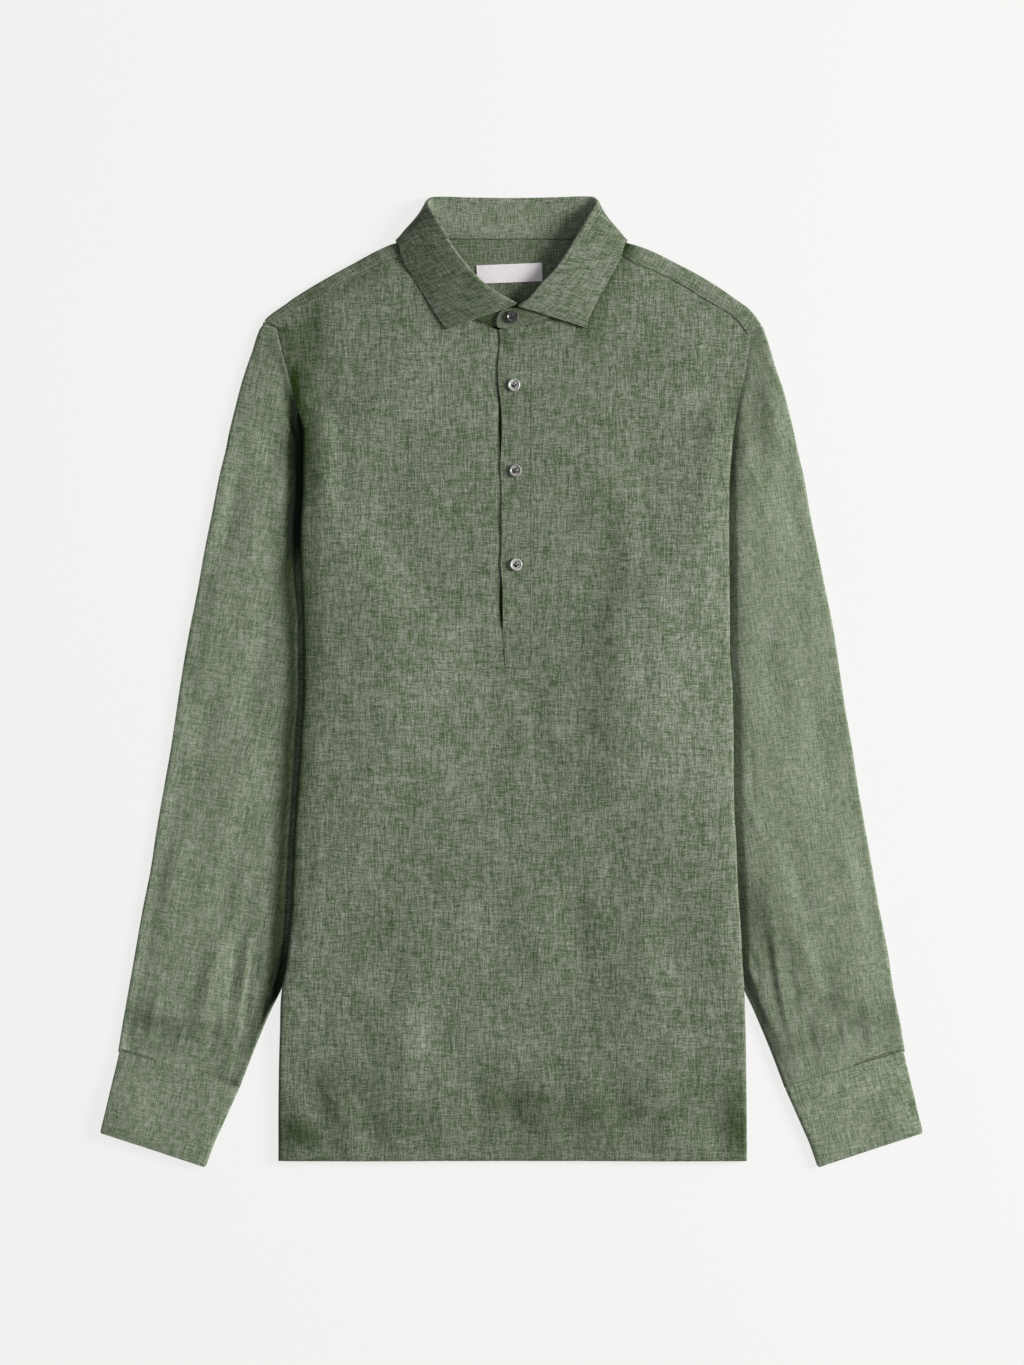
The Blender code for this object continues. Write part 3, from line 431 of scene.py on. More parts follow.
def sheet_mesh(name, grid, wall, flat=None, ring=False, skip=None, taper=None, depth=None):
    """A closed thin shell through a grid of points (rows, columns, 3), with NaN where it is open.

    flat gives each point's place on the unfolded cloth. taper scales the wall point by point."""
    grid = np.asarray(grid, float)
    nj, ni = grid.shape[:2]
    live = ~np.isnan(grid[:, :, 0])
    cells = []
    wide = ni if ring else ni - 1
    for j in range(nj - 1):
        for i in range(wide):
            k = (i + 1) % ni
            if live[j, i] and live[j, k] and live[j + 1, k] and live[j + 1, i]:
                if skip is None or not skip(i, j):
                    cells.append((j * ni + i, j * ni + k, (j + 1) * ni + k, (j + 1) * ni + i))
    cells = np.array(cells)
    used = np.unique(cells)
    index = -np.ones(nj * ni, int)
    index[used] = np.arange(len(used))
    pts = grid.reshape(-1, 3)[used]
    quads = index[cells]
    a, b, c, d = (pts[quads[:, k]] for k in range(4))
    face_n = np.cross(c - a, d - b)
    normal = np.zeros_like(pts)
    for k in range(4):
        np.add.at(normal, quads[:, k], face_n)
    normal /= np.maximum(np.linalg.norm(normal, axis=1, keepdims=True), 1e-9)
    half = wall / 2.0 if taper is None else (wall / 2.0 * np.asarray(taper, float).ravel()[used])[:, None]
    top, low = pts + normal * half, pts - normal * half
    n = len(pts)
    edges = {}
    for q in quads:
        for k in range(4):
            e = (q[k], q[(k + 1) % 4])
            edges[e] = True
    rim = [(p, q) for (p, q) in edges if (q, p) not in edges]
    faces = [tuple(q) for q in quads] + [tuple(n + q[::-1]) for q in quads]
    faces += [(q, p, p + n, q + n) for p, q in rim]
    mesh = bpy.data.meshes.new(name)
    mesh.from_pydata((np.vstack([top, low]) * MM).tolist(), [], [tuple(int(v) for v in f) for f in faces])
    mesh.validate()
    obj = bpy.data.objects.new(name, mesh)
    bpy.context.scene.collection.objects.link(obj)
    mesh.shade_smooth()
    mesh.set_sharp_from_angle(angle=radians(58))
    if flat is None:
        flat2 = pts[:, :2]
    else:
        flat2 = np.asarray(flat, float).reshape(-1, 2)[used]
    both = np.vstack([flat2, flat2]) * MM
    weave_frame(obj, both, both[:, 0], both[:, 1])
    # depth: painted shade (painted highlight below 0), stored on both layers as the depth attribute
    deep = np.zeros(len(pts)) if depth is None else np.broadcast_to(depth, (nj, ni)).ravel()[used]
    painted_shade_layer(obj, np.concatenate([deep, deep]))
    return obj


# ---------------------------------------------------------------- the body
def spaced(a, b, step):
    n = max(int(round(abs(b - a) / step)), 1)
    return np.linspace(a, b, n + 1)


ROWS_Y = np.concatenate([spaced(TOP_Y, PLACKET_FOOT, STEP), spaced(PLACKET_FOOT, HEM_Y + 1.2, STEP)[1:],
                         [HEM_Y]])
N_STRIP, N_ARC = 12, 7


def side_part(y, side, strip_of, panel_of, room, n_strip, lead):
    """Rows of the turned-under strip and its roll, from the strip's inner end outwards."""
    edge = side_minus(y) if side < 0 else side_plus(y)
    tuck = tuck_of(y)
    cols = []
    for t in np.linspace(0, 1, n_strip):
        d = mix(tuck, FOLD, t)
        x = edge - side * d
        cols.append(np.stack([x, y, strip_of(x, y)], axis=1))
    x0 = edge - side * FOLD
    low, high = strip_of(x0, y), panel_of(x0, y)
    for n in range(1, lead):
        a = pi * n / lead
        cols.append(np.stack([x0 + side * (FOLD - room) * np.sin(a), y,
                              (low + high) / 2 - (high - low) / 2 * np.cos(a)], axis=1))
    return np.stack(cols, axis=1)


def panel_columns(y, side, slash, n, inner=None):
    """Rows of the panel that shows, from the roll in to the slash."""
    edge = side_minus(y) if side < 0 else side_plus(y)
    x0 = edge - side * FOLD
    u = np.linspace(0, 1, n)
    u = u * 0.82 + 0.18 * u**2                      # finer towards the turned-under edge
    return x0[:, None] * (1 - u) + slash * u


def curved_arm(points, t):
    p = polyline(points, 41)
    return np.stack([np.interp(t, np.linspace(0, 1, 41), p[:, k]) for k in (0, 1)], axis=-1)


ARC_OUT = [sin(pi * n / N_ARC) / sin(pi * 4 / N_ARC) for n in (4, 5, 6)]
ARC_OUT_0 = sin(pi * 4 / N_ARC)
ARC_UP = [-cos(pi * n / N_ARC) for n in (4, 5, 6)]


def arm_edge(side, y):
    """The armhole seam's place across, at a height."""
    line = polyline(ARM_M if side < 0 else ARM_P, 41)
    return np.interp(y, line[:, 1], line[:, 0])


def arm_lip(block, side, reach, strip_of, panel_of):
    """Three columns that carry the roll's upper half on up to the armhole seam."""
    first = block[:, 0] if side < 0 else block[:, -1]
    y = first[:, 1]
    seam_x = arm_edge(side, y)
    full = smooth((y - TOP_Y) / 16.0)
    wide = mix(reach * ARC_OUT_0, np.maximum(side * (seam_x - first[:, 0]), 0.3), full)
    low, high = strip_of(first[:, 0], y), panel_of(first[:, 0], y)
    out = []
    for f, up in zip(ARC_OUT, ARC_UP):
        roll = (low + high) / 2 + (high - low) / 2 * up
        z = mix(roll, first[:, 2] - 0.16 * f, full)
        out.append(np.stack([first[:, 0] + side * wide * f, y, z], axis=1))
    return np.stack(out if side < 0 else out[::-1], axis=1)


def upper_block(arm_m, arm_p, tops_m, tops_p, n_side, mid, n_rows, height):
    """The rows above TOP_Y: from the top seam down, keeping the armhole's curve."""
    blocks = []
    y0 = np.array([TOP_Y])
    t = np.linspace(1, 0, n_rows + 1)[:-1]
    for side, arm, tops in ((-1, arm_m, tops_m), (1, arm_p, tops_p)):
        slash = PLACKET[0] if side < 0 else PLACKET[1]
        low_x = panel_columns(y0, side, slash, n_side)[0]
        tops = [(tops[0][0] - side * 0.8, tops[0][1] + (0.6 if len(tops) > 6 else 0.0))] + list(tops[1:])
        top = polyline(tops, n_side) if len(tops) > 4 else polyline(tops, n_side, 0.35)
        low = np.stack([low_x, np.full(n_side, TOP_Y)], axis=1)
        curve = curved_arm(arm, t)
        chord = np.array([mix(np.array(arm[0]), np.array(arm[-1]), k) for k in t])
        u = np.linspace(0, 1, n_side)
        pull = (1 - u)[None, :, None] ** 2
        straight = low[None] * (1 - t)[:, None, None] + top[None] * t[:, None, None]
        blocks.append(straight + (curve - chord)[:, None, :] * pull)
    left, right = blocks[0], blocks[1][:, ::-1]
    parts_ = [left]
    if mid:
        for k in range(1, mid):
            f = k / mid
            parts_.append((left[:, -1:] * (1 - f) + right[:, :1] * f))
    parts_.append(right)
    xy = np.concatenate(parts_, axis=1)
    z = height(xy[:, :, 0], xy[:, :, 1])
    return np.concatenate([xy, z[:, :, None]], axis=2)


def run_lengths(grid, start):
    """Distance along each row from the column nearest x = 0: where the cloth was before folding."""
    g = np.nan_to_num(grid)
    step = np.linalg.norm(np.diff(g, axis=1), axis=2)
    step[np.isnan(grid[:, 1:, 0]) | np.isnan(grid[:, :-1, 0])] = 0
    run = np.concatenate([np.zeros((len(g), 1)), np.cumsum(step, axis=1)], axis=1)
    return run - run[:, start:start + 1]


def body_panel(name, strip_of, panel_of, room, upper, n_side, mid, skip_slash, wall=CLOTH,
               painted_shade_of=None):
    y = ROWS_Y
    left = side_part(y, -1, strip_of, panel_of, room, N_STRIP, N_ARC)
    right = side_part(y, +1, strip_of, panel_of, room, N_STRIP, N_ARC)[:, ::-1]
    xl = panel_columns(y, -1, PLACKET[0], n_side)
    xr = panel_columns(y, +1, PLACKET[1], n_side)[:, ::-1]
    xm = np.stack([np.full(len(y), mix(PLACKET[0], PLACKET[1], k / mid)) for k in range(1, mid)], axis=1)
    x = np.concatenate([xl, xm, xr], axis=1)
    yy = np.repeat(y[:, None], x.shape[1], axis=1)
    # the hem is not quite straight
    z = panel_of(x, yy)
    main = np.concatenate([left, np.stack([x, yy, z], axis=2), right], axis=1)
    pad = np.full((len(upper), left.shape[1] - 3, 3), np.nan)
    lips = [arm_lip(upper, side, FOLD - room, strip_of, panel_of) for side in (-1, 1)]
    grid = np.concatenate([np.concatenate([pad, lips[0], upper, lips[1], pad], axis=1), main], axis=0)
    first_mid = left.shape[1] + n_side - 1
    foot = len(upper) + int(np.argmin(abs(y - PLACKET_FOOT)))
    skip = (lambda i, j: first_mid <= i < first_mid + mid and j < foot) if skip_slash else None
    run = run_lengths(grid, first_mid)
    flat = np.stack([run + grid[0, first_mid, 0] * 0 + PLACKET[0], np.nan_to_num(grid[:, :, 1])], axis=2)
    first = len(upper)
    shift = flat[first, :, 0] - np.nan_to_num(grid[first, :, 0])
    flat[:first, :, 0] = np.nan_to_num(grid[:first, :, 0]) + shift[None]
    grid[-1, :, 1] -= 0.7
    grid[-2, :, 1] -= 0.35
    return sheet_mesh(name, grid, wall, flat=flat, skip=skip, depth=painted_shade_of(grid) if painted_shade_of else None)


N_SIDE, MID = 62, 9
top_m = [(x, y - SEAM) for x, y in SEAM_M] + [(x, y - SEAM) for x, y in NECK_M[1:]]
top_p = [(x, y - SEAM) for x, y in SEAM_P] + [(x, y - SEAM) for x, y in NECK_P[1:]]


def front_upper_xy():
    return upper_block(ARM_M, ARM_P, top_m, top_p, N_SIDE, MID, 32, front_top)


def front_strip(x, y):
    yc = clip_y(y)
    d = np.minimum(x - side_minus(yc), side_plus(yc) - x)
    return strip_z(x, y)


def front_painted_shade(grid):
    g = np.nan_to_num(grid)
    deep = collar_painted_shade(g[:, :, 0], g[:, :, 1])
    # painted shade beside the fold of each side, and the hem's bottom edge darker
    hem = 0.16 * smooth((HEM_Y + 3.0 - g[:, :, 1]) / 2.5)
    yc = clip_y(g[:, :, 1])
    inward = np.clip(g[:, :, 0] - side_minus(yc), 0, None)
    band = smooth((TOP_Y + 12.0 - g[:, :, 1]) / 24.0) * smooth((g[:, :, 1] + 222.0) / 40.0)
    band = band * mix(1.05, 0.62, smooth((g[:, :, 1] - 78.0) / 34.0))
    deep = np.maximum(deep, 0.74 * np.exp(-inward / 6.5) * band)
    return np.clip(np.maximum(deep, hem) + creased(g[:, :, 0], g[:, :, 1], FRONT_PAINTED_SHADE), -0.35, 1)


def make_front():
    obj = body_panel("shirt_front", front_strip, front_top, CLOTH / 2, front_upper_xy(), N_SIDE, MID, True,
                     painted_shade_of=front_painted_shade)
    return obj


def back_shape(x, y):
    yc = clip_y(y)
    d = np.minimum(x - side_minus(yc), side_plus(yc) - x)
    move = creased(x, y, FRONT_CREASES) + soft_fall(x, y)
    # the back follows the front's troughs a little where it lies free above the strips
    free = smooth((back_z(x, y) - 2.6) / 3.0) * smooth((d - 6.0) / 14.0) * smooth((300.0 - y) / 30.0)
    return back_z(x, y) + np.minimum(move, 0) * 0.35 * free * smooth((y - HEM_Y) / 3.0 + 1)


def back_strip(x, y):
    return strip_z(x, y) + PITCH


def make_back():
    n_side = 34
    mid = 5
    tops_m = [(x, YOKE_Y) for x in (-182.0, -160.0, -120.0, -80.0, -40.0, PLACKET[0])]
    tops_p = [(x, YOKE_Y) for x in (188.8, 160.0, 120.0, 80.0, 40.0, PLACKET[1])]
    arm_m = [p for p in ARM_M if p[1] < 258.0] + [(-182.0, YOKE_Y)]
    arm_p = [p for p in ARM_P if p[1] < 258.0] + [(188.8, YOKE_Y)]
    upper = upper_block(arm_m, arm_p, tops_m, tops_p, n_side, mid, 14, back_shape)
    return body_panel("shirt_back", back_strip, back_shape, HALF + PITCH + 0.1, upper, n_side, mid, False)


YOKE_PAINTED_SHADE = [
    Crease(84, 356, 104, 336, 0, 6, 0.42, 0), Crease(-84, 356, -100, 340, 0, 5, 0.22, 0),
    Crease(-120, 336, -190, 284, 0, 8, 0.16, 0), Crease(120, 338, 190, 298, 0, 8, -0.08, 0),
]


def make_yoke():
    """Back plate, then round each shoulder's fold to the forward seam."""
    radius = YOKE_LOFT / 2.0
    n_plate, n_roll, n_top = 26, 7, 8
    columns = []

    def shoulder(edge, seam, foot_x):
        away = np.array(edge) - np.array(seam)
        away = away / max(np.linalg.norm(away), 1e-6)
        start = np.array(edge) - away * (radius + CLOTH / 2)
        foot = np.array([foot_x, YOKE_Y + SEAM])
        col = []
        for t in np.linspace(0, 1, n_plate):
            p = mix(foot, start, t)
            col.append((p[0], p[1], float(back_z(p[0], p[1]))))
        low = float(back_z(*start))
        for n in range(1, n_roll):
            a = pi * n / n_roll
            p = start + away * radius * sin(a)
            col.append((p[0], p[1], low + radius - radius * cos(a)))
        tip = np.array(seam) - away * 1.0
        lip = float(front_top(tip[0], tip[1])) + 0.72
        for t in np.linspace(0, 1, n_top):
            p = mix(start, tip, t)
            z = mix(low + 2 * radius, lip, smooth(t)) + 0.25 * sin(pi * min(t * 1.1, 1.0))
            col.append((p[0], p[1], z + 0.12 * float(drift(p[0], p[1], 16, 11))))
        return col

    for edge_pts, seam_pts, feet, order in ((EDGE_M, SEAM_M, (-181.9, -70.0), 1), (EDGE_P, SEAM_P, (188.6, 70.0), -1)):
        n = 56
        edge = polyline(edge_pts, n)
        seam = polyline(seam_pts, n)
        cols = [shoulder(edge[k], seam[k], mix(feet[0], feet[1], k / (n - 1))) for k in range(n)]
        arm = ARM_M if order > 0 else ARM_P
        ay = [p[1] for p in arm]
        ax = [p[0] for p in arm]
        for k, w in enumerate((1.0, 0.8, 0.6, 0.4, 0.25, 0.1)):
            for m in range(1, n_plate - 6):
                x, y, z = cols[k][m]
                want = np.interp(y, ay, ax)
                fade = smooth((n_plate - 6 - m) / 6.0)
                first = cols[0][m][0] if k == 0 else None
                if k == 0:
                    cols[0][m] = (mix(x, want, fade), y, z)
        if order > 0:
            columns += cols
            for x in np.linspace(-66.0, 66.0, 34):
                top = NECK_BACK_Y - 0.6 * smooth((abs(x) - 44.0) / 20.0)
                col = []
                for t in np.linspace(0, 1, n_plate):
                    px, py = mix(x * 1.03, x, t), mix(YOKE_Y + SEAM, top, t)
                    col.append((px, py, float(back_z(px, py)) + 0.18 * float(drift(px, py, 18, 12)) * smooth(t * 6) * smooth((1 - t) * 6)))
                columns.append(col + [(np.nan,) * 3] * (n_roll - 1 + n_top))
        else:
            columns += cols[::-1]
    grid = np.array(columns)
    run = run_lengths(grid, 0)
    flat = np.stack([np.nan_to_num(grid[:, :, 0]), run], axis=2)
    px, py = np.nan_to_num(grid[:, :, 0]), np.nan_to_num(grid[:, :, 1])
    lean = radians(30.0) * np.sign(px)
    turned = np.stack([px * np.cos(lean) - py * np.sin(lean), px * np.sin(lean) + py * np.cos(lean)], axis=2)
    flat[:, n_plate:] = turned[:, n_plate:]
    flat[:, :n_plate] = np.stack([px, py], axis=2)[:, :n_plate]
    gx, gy = np.nan_to_num(grid[:, :, 0]), np.nan_to_num(grid[:, :, 1])
    # painted shade on the yoke: inside the neck (the shadow of the right collar wall, the foot of the opening, its far
    # side and a little everywhere), beside the collar's edges, and the listed patches of painted shade and highlight
    deep = collar_painted_shade(gx, gy)
    inside = smooth((74.0 - np.abs(gx)) / 6.0)
    wall_side = 0.75 * np.exp(-np.clip(mix(24.0, 56.0, (gy - 300.0) / 50.0) - gx, 0, None) / 7.0)
    foot = 0.86 * np.exp(-np.clip(gy - 300.0, 0, None) / 8.0)
    far = 0.30 * np.exp(-np.clip(gx - mix(-18.0, -58.0, (gy - 300.0) / 50.0), 0, None) / 6.0)
    below = 0.16 * np.ones_like(gx)
    inner = np.clip(np.maximum.reduce([0.5 * wall_side, foot, far, below]), 0, 1) * inside
    deep = np.maximum(deep * (1 - inside), inner)
    deep = deep + creased(gx, gy, YOKE_PAINTED_SHADE)
    return sheet_mesh("shirt_yoke", grid, CLOTH, flat=flat, depth=deep)


# ---------------------------------------------------------------- sleeves and cuffs
Sleeve = namedtuple("Sleeve", "outer inner tucked bend crest")
SLEEVE_M = [
    Sleeve((-315.2, -296.8), (-218.0, -326.4), 0.0, 0.0, 4.7),
    Sleeve((-310.0, -267.2), (-206.0, -295.2), 0.0, 0.0, 7.2),
    Sleeve((-304.4, -235.2), (-193.2, -264.8), 0.2, 0.0, 7.4),
    Sleeve((-298.8, -203.2), (-182.8, -243.2), 1.0, 0.0, 7.4),
    Sleeve((-290.8, -159.2), (-169.2, -203.2), 1.0, 0.0, 7.6),
    Sleeve((-281.2, -101.6), (-151.6, -152.8), 1.0, 0.0, 7.8),
    Sleeve((-269.2, -29.6), (-129.2, -88.8), 1.0, 0.0, 8.0),
    Sleeve((-256.4, 48.8), (-107.6, -26.4), 1.0, 0.1, 8.4),
    Sleeve((-242.8, 120.8), (-90.8, 23.2), 1.0, 0.35, 8.8),
    Sleeve((-228.4, 188.8), (-83.6, 40.0), 1.0, 0.65, 8.4),
    Sleeve((-213.6, 246.4), (-79.6, 46.0), 1.0, 0.9, 7.0),
    Sleeve((-198.6, 287.8), (-77.4, 48.4), 1.0, 1.0, 4.6),
]
SLEEVE_P = [
    Sleeve((315.2, -296.8), (218.8, -326.0), 0.0, 0.0, 4.7),
    Sleeve((309.8, -267.2), (206.8, -294.4), 0.0, 0.0, 7.0),
    Sleeve((304.0, -235.2), (194.0, -264.0), 0.2, 0.0, 7.2),
    Sleeve((298.4, -203.2), (184.6, -243.2), 1.0, 0.0, 7.2),
    Sleeve((290.8, -159.2), (171.0, -203.2), 1.0, 0.0, 7.4),
    Sleeve((280.8, -101.6), (155.0, -152.8), 1.0, 0.0, 7.6),
    Sleeve((268.8, -29.6), (134.0, -88.8), 1.0, 0.0, 7.8),
    Sleeve((257.6, 48.8), (114.0, -26.4), 1.0, 0.1, 8.0),
    Sleeve((243.2, 120.8), (99.0, 23.2), 1.0, 0.35, 8.2),
    Sleeve((228.8, 188.8), (92.0, 40.0), 1.0, 0.65, 8.0),
    Sleeve((216.0, 238.4), (88.4, 46.0), 1.0, 0.9, 6.8),
    Sleeve((200.8, 284.6), (86.2, 48.4), 1.0, 1.0, 4.6),
]
# The sleeve's outer edge as it shows.
Out = namedtuple("Out", "y minus plus")
OUT = [
    Out(284.6, -200.6, 201.2), Out(277.6, -203.6, 203.6), Out(264.8, -207.6, 207.6),
    Out(248.8, -213.2, 212.4), Out(232.8, -218.0, 218.0), Out(216.8, -222.0, 222.0),
    Out(200.8, -226.0, 226.0), Out(184.8, -229.2, 229.2), Out(168.8, -233.2, 233.2),
    Out(136.8, -239.6, 238.8), Out(104.8, -246.0, 245.2), Out(72.8, -251.6, 251.6),
    Out(40.8, -258.0, 258.0), Out(8.8, -263.6, 262.8), Out(-23.2, -268.4, 267.6),
    Out(-55.2, -273.2, 273.2), Out(-87.2, -278.8, 278.0), Out(-119.2, -284.4, 283.6),
    Out(-151.2, -289.2, 289.2), Out(-183.2, -295.6, 294.8), Out(-215.2, -301.2, 301.2),
    Out(-247.2, -306.8, 306.0), Out(-279.2, -312.4, 312.4), Out(-296.8, -315.2, 315.2),
]
out_minus = track([o.y for o in OUT], [o.minus for o in OUT])
out_plus = track([o.y for o in OUT], [o.plus for o in OUT])

# How wide the dark gap beside the body is.
Gap = namedtuple("Gap", "y minus plus")
GAP = [
    Gap(250.0, 1.0, 1.0), Gap(222.0, 5.0, 4.0), Gap(200.0, 11.0, 4.4), Gap(184.8, 12.2, 4.0),
    Gap(152.8, 11.6, 4.0), Gap(120.8, 11.6, 4.4), Gap(88.8, 9.6, 5.2), Gap(56.8, 7.6, 4.6),
    Gap(24.8, 6.8, 4.6), Gap(-7.2, 6.8, 4.8), Gap(-39.2, 7.4, 4.6), Gap(-71.2, 7.2, 4.6),
    Gap(-103.2, 6.6, 4.6), Gap(-135.2, 6.8, 4.8), Gap(-167.2, 7.4, 6.2), Gap(-199.2, 8.0, 4.8),
    Gap(-231.2, 7.4, 4.2), Gap(-249.6, 6.0, 4.2),
]
gap_minus = track([g.y for g in GAP], [g.minus for g in GAP])
gap_plus = track([g.y for g in GAP], [g.plus for g in GAP])

# Creases on the sleeves as they show (x0, y0, x1, y1, bow, width, rise, lean).
SLEEVE_M_CREASES = [
    Crease(-196, 262, -232, 140, -8, 9, 0.9, 0.2), Crease(-184, 226, -206, 96, -5, 8, -1.1, 0.2),
    Crease(-214, 210, -240, 90, 6, 8, -0.8, 0.2), Crease(-190, 180, -214, 60, -4, 10, 0.8, 0.2),
    Crease(-232, 96, -252, -40, -6, 10, 0.8, 0.2), Crease(-196, 80, -222, -50, 5, 9, -0.9, 0.2),
    Crease(-244, 10, -262, -120, 4, 9, -0.8, 0.2), Crease(-200, -30, -232, -160, -6, 11, 0.9, 0.2),
    Crease(-214, -80, -244, -210, 5, 9, -0.8, 0.2), Crease(-258, -110, -286, -240, -5, 10, 0.8, 0.2),
    Crease(-196, -150, -218, -262, -4, 7, 0.9, 0.2), Crease(-206, -150, -232, -270, 4, 6, -0.9, 0.2),
    Crease(-226, -190, -250, -284, -4, 7, 0.8, 0.2), Crease(-250, -226, -268, -296, 2, 5, -0.8, 0.2),
    Crease(-278, -236, -292, -300, -2, 5, 0.8, 0.2), Crease(-236, -262, -246, -312, 1, 4, -0.7, 0.2),
    Crease(-190, -226, -198, -252, 2, 3, 1.0, 0.4), Crease(-196, -232, -210, -290, 2, 4, -0.9, 0.3),
    Crease(-262, -270, -270, -304, 1, 3, 0.6, 0.2), Crease(-286, -268, -294, -302, 1, 3, -0.6, 0.2),
    Crease(-224, -286, -230, -318, 1, 3, 0.7, 0.2), Crease(-300, -262, -304, -298, 1, 3, 0.6, 0.2),
    Crease(-312, -262, -262, -270, 2, 2.6, 0.5, 0.2), Crease(-308, -274, -270, -286, -2, 3.0, -0.6, 0.2),
    Crease(-296, -250, -250, -262, 2, 3.0, -0.4, 0.2), Crease(-276, -290, -232, -306, -1, 2.6, 0.5, 0.2),
    Crease(-262, -276, -226, -292, 2, 2.6, -0.5, 0.2), Crease(-316, -284, -280, -288, 2, 3.0, 0.6, 0.2),
    Crease(-210, -180, -224, -306, 3, 2.6, 0.7, 0.2), Crease(-204, -196, -214, -290, -2, 2.4, -0.7, 0.2),
    Crease(-219, -200, -229, -300, -2, 2.6, -0.6, 0.2), Crease(-196, -176, -204, -250, 2, 2.2, 0.6, 0.2),
]
SLEEVE_P_CREASES = [
    Crease(198, 258, 230, 140, 7, 9, 0.8, -0.2), Crease(190, 214, 206, 96, 5, 8, -1.0, -0.2),
    Crease(216, 206, 238, 96, -5, 8, -0.8, -0.2), Crease(194, 180, 212, 60, 4, 10, 0.8, -0.2),
    Crease(232, 96, 252, -40, 6, 10, 0.8, -0.2), Crease(206, 80, 222, -50, -5, 9, -0.8, -0.2),
    Crease(244, 10, 262, -120, -4, 9, -0.8, -0.2), Crease(206, -30, 232, -160, 6, 11, 0.9, -0.2),
    Crease(220, -80, 244, -210, -5, 9, -0.8, -0.2), Crease(258, -110, 284, -240, 5, 10, 0.8, -0.2),
    Crease(189, -44, 193, -104, 1, 3.2, -0.8, -0.2), Crease(186, -92, 200, -122, 1, 3, 0.6, -0.2),
    Crease(190, -108, 204, -134, 1, 3, 0.5, -0.2), Crease(183, 192, 196, 166, 1, 2.6, -0.5, -0.2),
    Crease(186, 180, 200, 154, 1, 2.6, 0.5, -0.2), Crease(185, 50, 194, 34, 1, 2.4, 0.5, -0.2),
    Crease(198, -150, 218, -262, 4, 7, 0.9, -0.2), Crease(208, -150, 232, -270, -4, 6, -0.9, -0.2),
    Crease(226, -190, 250, -284, 4, 7, 0.8, -0.2), Crease(252, -226, 268, -296, -2, 5, -0.7, -0.2),
    Crease(278, -236, 290, -300, 2, 5, 0.7, -0.2), Crease(236, -262, 246, -312, -1, 4, -0.7, -0.2),
    Crease(187, -206, 190, -218, 1, 2.6, 1.0, 0.3), Crease(186, -210, 199, -246, 2, 3.6, -1.1, 0.3),
    Crease(262, -270, 270, -304, 1, 3, 0.6, 0.2), Crease(224, -286, 230, -318, 1, 3, 0.6, 0.2),
    Crease(312, -262, 262, -270, -2, 2.6, 0.5, 0.2), Crease(308, -274, 270, -286, 2, 3.0, -0.6, 0.2),
    Crease(296, -250, 250, -262, -2, 3.0, -0.4, 0.2), Crease(276, -290, 232, -306, 1, 2.6, 0.5, 0.2),
    Crease(262, -276, 226, -292, -2, 2.6, -0.5, 0.2), Crease(316, -284, 280, -288, -2, 3.0, 0.6, 0.2),
    Crease(208, -180, 226, -300, -3, 2.6, 0.7, 0.2), Crease(200, -190, 212, -280, 2, 2.4, -0.7, 0.2),
    Crease(218, -196, 230, -290, 2, 2.6, -0.6, 0.2), Crease(192, -196, 206, -262, -2, 2.2, 0.7, 0.2),
]
# Painted shade (above 0) and painted highlight (below 0) on the sleeves, as they show.
SLEEVE_M_PAINTED_SHADE = [
    Crease(-200, 290, -186, 246, 0, 9, 0.20, 0), Crease(-190, -140, -200, -180, 0, 9, 0.20, 0),
    Crease(-196, -236, -194, -256, 0, 5, -0.20, 0),
    Crease(-346, -254, -190, -300, 0, 12, 0.30, 0), Crease(-180, -170, -216, -310, 0, 9, 0.40, 0),
    Crease(-194, 304, -168, 204, -2, 5, 0.50, 0), Crease(-200, 290, -184, 180, 0, 9, 0.16, 0), Crease(-206, 270, -196, 190, 0, 8, 0.22, 0), Crease(-207, 300, -324, -330, 3, 8, -0.26, 0),
    Crease(-240, -210, -262, -290, 0, 9, 0.10, 0), Crease(-236, 160, -240, 40, 0, 14, 0.06, 0),
    Crease(-330, -290, -240, -314, 0, 3.6, -0.16, 0), Crease(-244, -312, -208, -328, 0, 3, 0.35, 0), Crease(-188, 180, -184, -200, 0, 9, 0.16, 0),
]
SLEEVE_P_PAINTED_SHADE = [
    Crease(198, 292, 206, 262, 0, 8, 0.26, 0), Crease(196, -150, 212, -232, 0, 10, 0.20, 0),
    Crease(248, -250, 262, -268, 0, 9, 0.18, 0), Crease(184, 199, 182, 172, 0, 5, 0.28, 0),
    Crease(188, -226, 208, -290, 0, 7, 0.26, 0), Crease(232, -240, 266, -266, 0, 9, 0.22, 0),
    Crease(186, -140, 232, -310, 0, 14, 0.36, 0), Crease(190, -302, 346, -254, 0, 13, 0.34, 0),
    Crease(196, 296, 206, 170, 0, 10, 0.30, 0), Crease(210, 240, 312, -270, -2, 7, 0.16, 0),
    Crease(186, 276, 180, 150, 0, 5, 0.34, 0), Crease(250, -190, 272, -280, 0, 10, 0.14, 0),
    Crease(204, -110, 200, -180, 0, 8, 0.14, 0), Crease(182, 120, 186, -120, 0, 4, 0.12, 0),
]
SLEEVE_EDGE, SLEEVE_INNER, SLEEVE_FLAT = 1.7, 2.1, 0.85


def armhole_curve(side):
    ys = np.linspace((ARM_M if side < 0 else ARM_P)[-1][1], TOP_Y + 2.0, 22)
    shown = [(float(arm_edge(side, y)) + side * 0.45, float(y)) for y in ys]
    hidden = []
    for y in (176.8, 144.8, 120.8, 96.8, 82.0, 68.0, 57.0, 48.0):
        edge = side_minus(y) if side < 0 else side_plus(y)
        hidden.append((float(edge - side * tuck_of(y)), y))
    top = SLEEVE_M[-1].outer if side < 0 else SLEEVE_P[-1].outer
    base = (ARM_M if side < 0 else ARM_P)[0]
    return polyline([top] + shown + [(base[0] - side * 5.0, base[1] - 6.0)] + hidden, 240, 0.4)


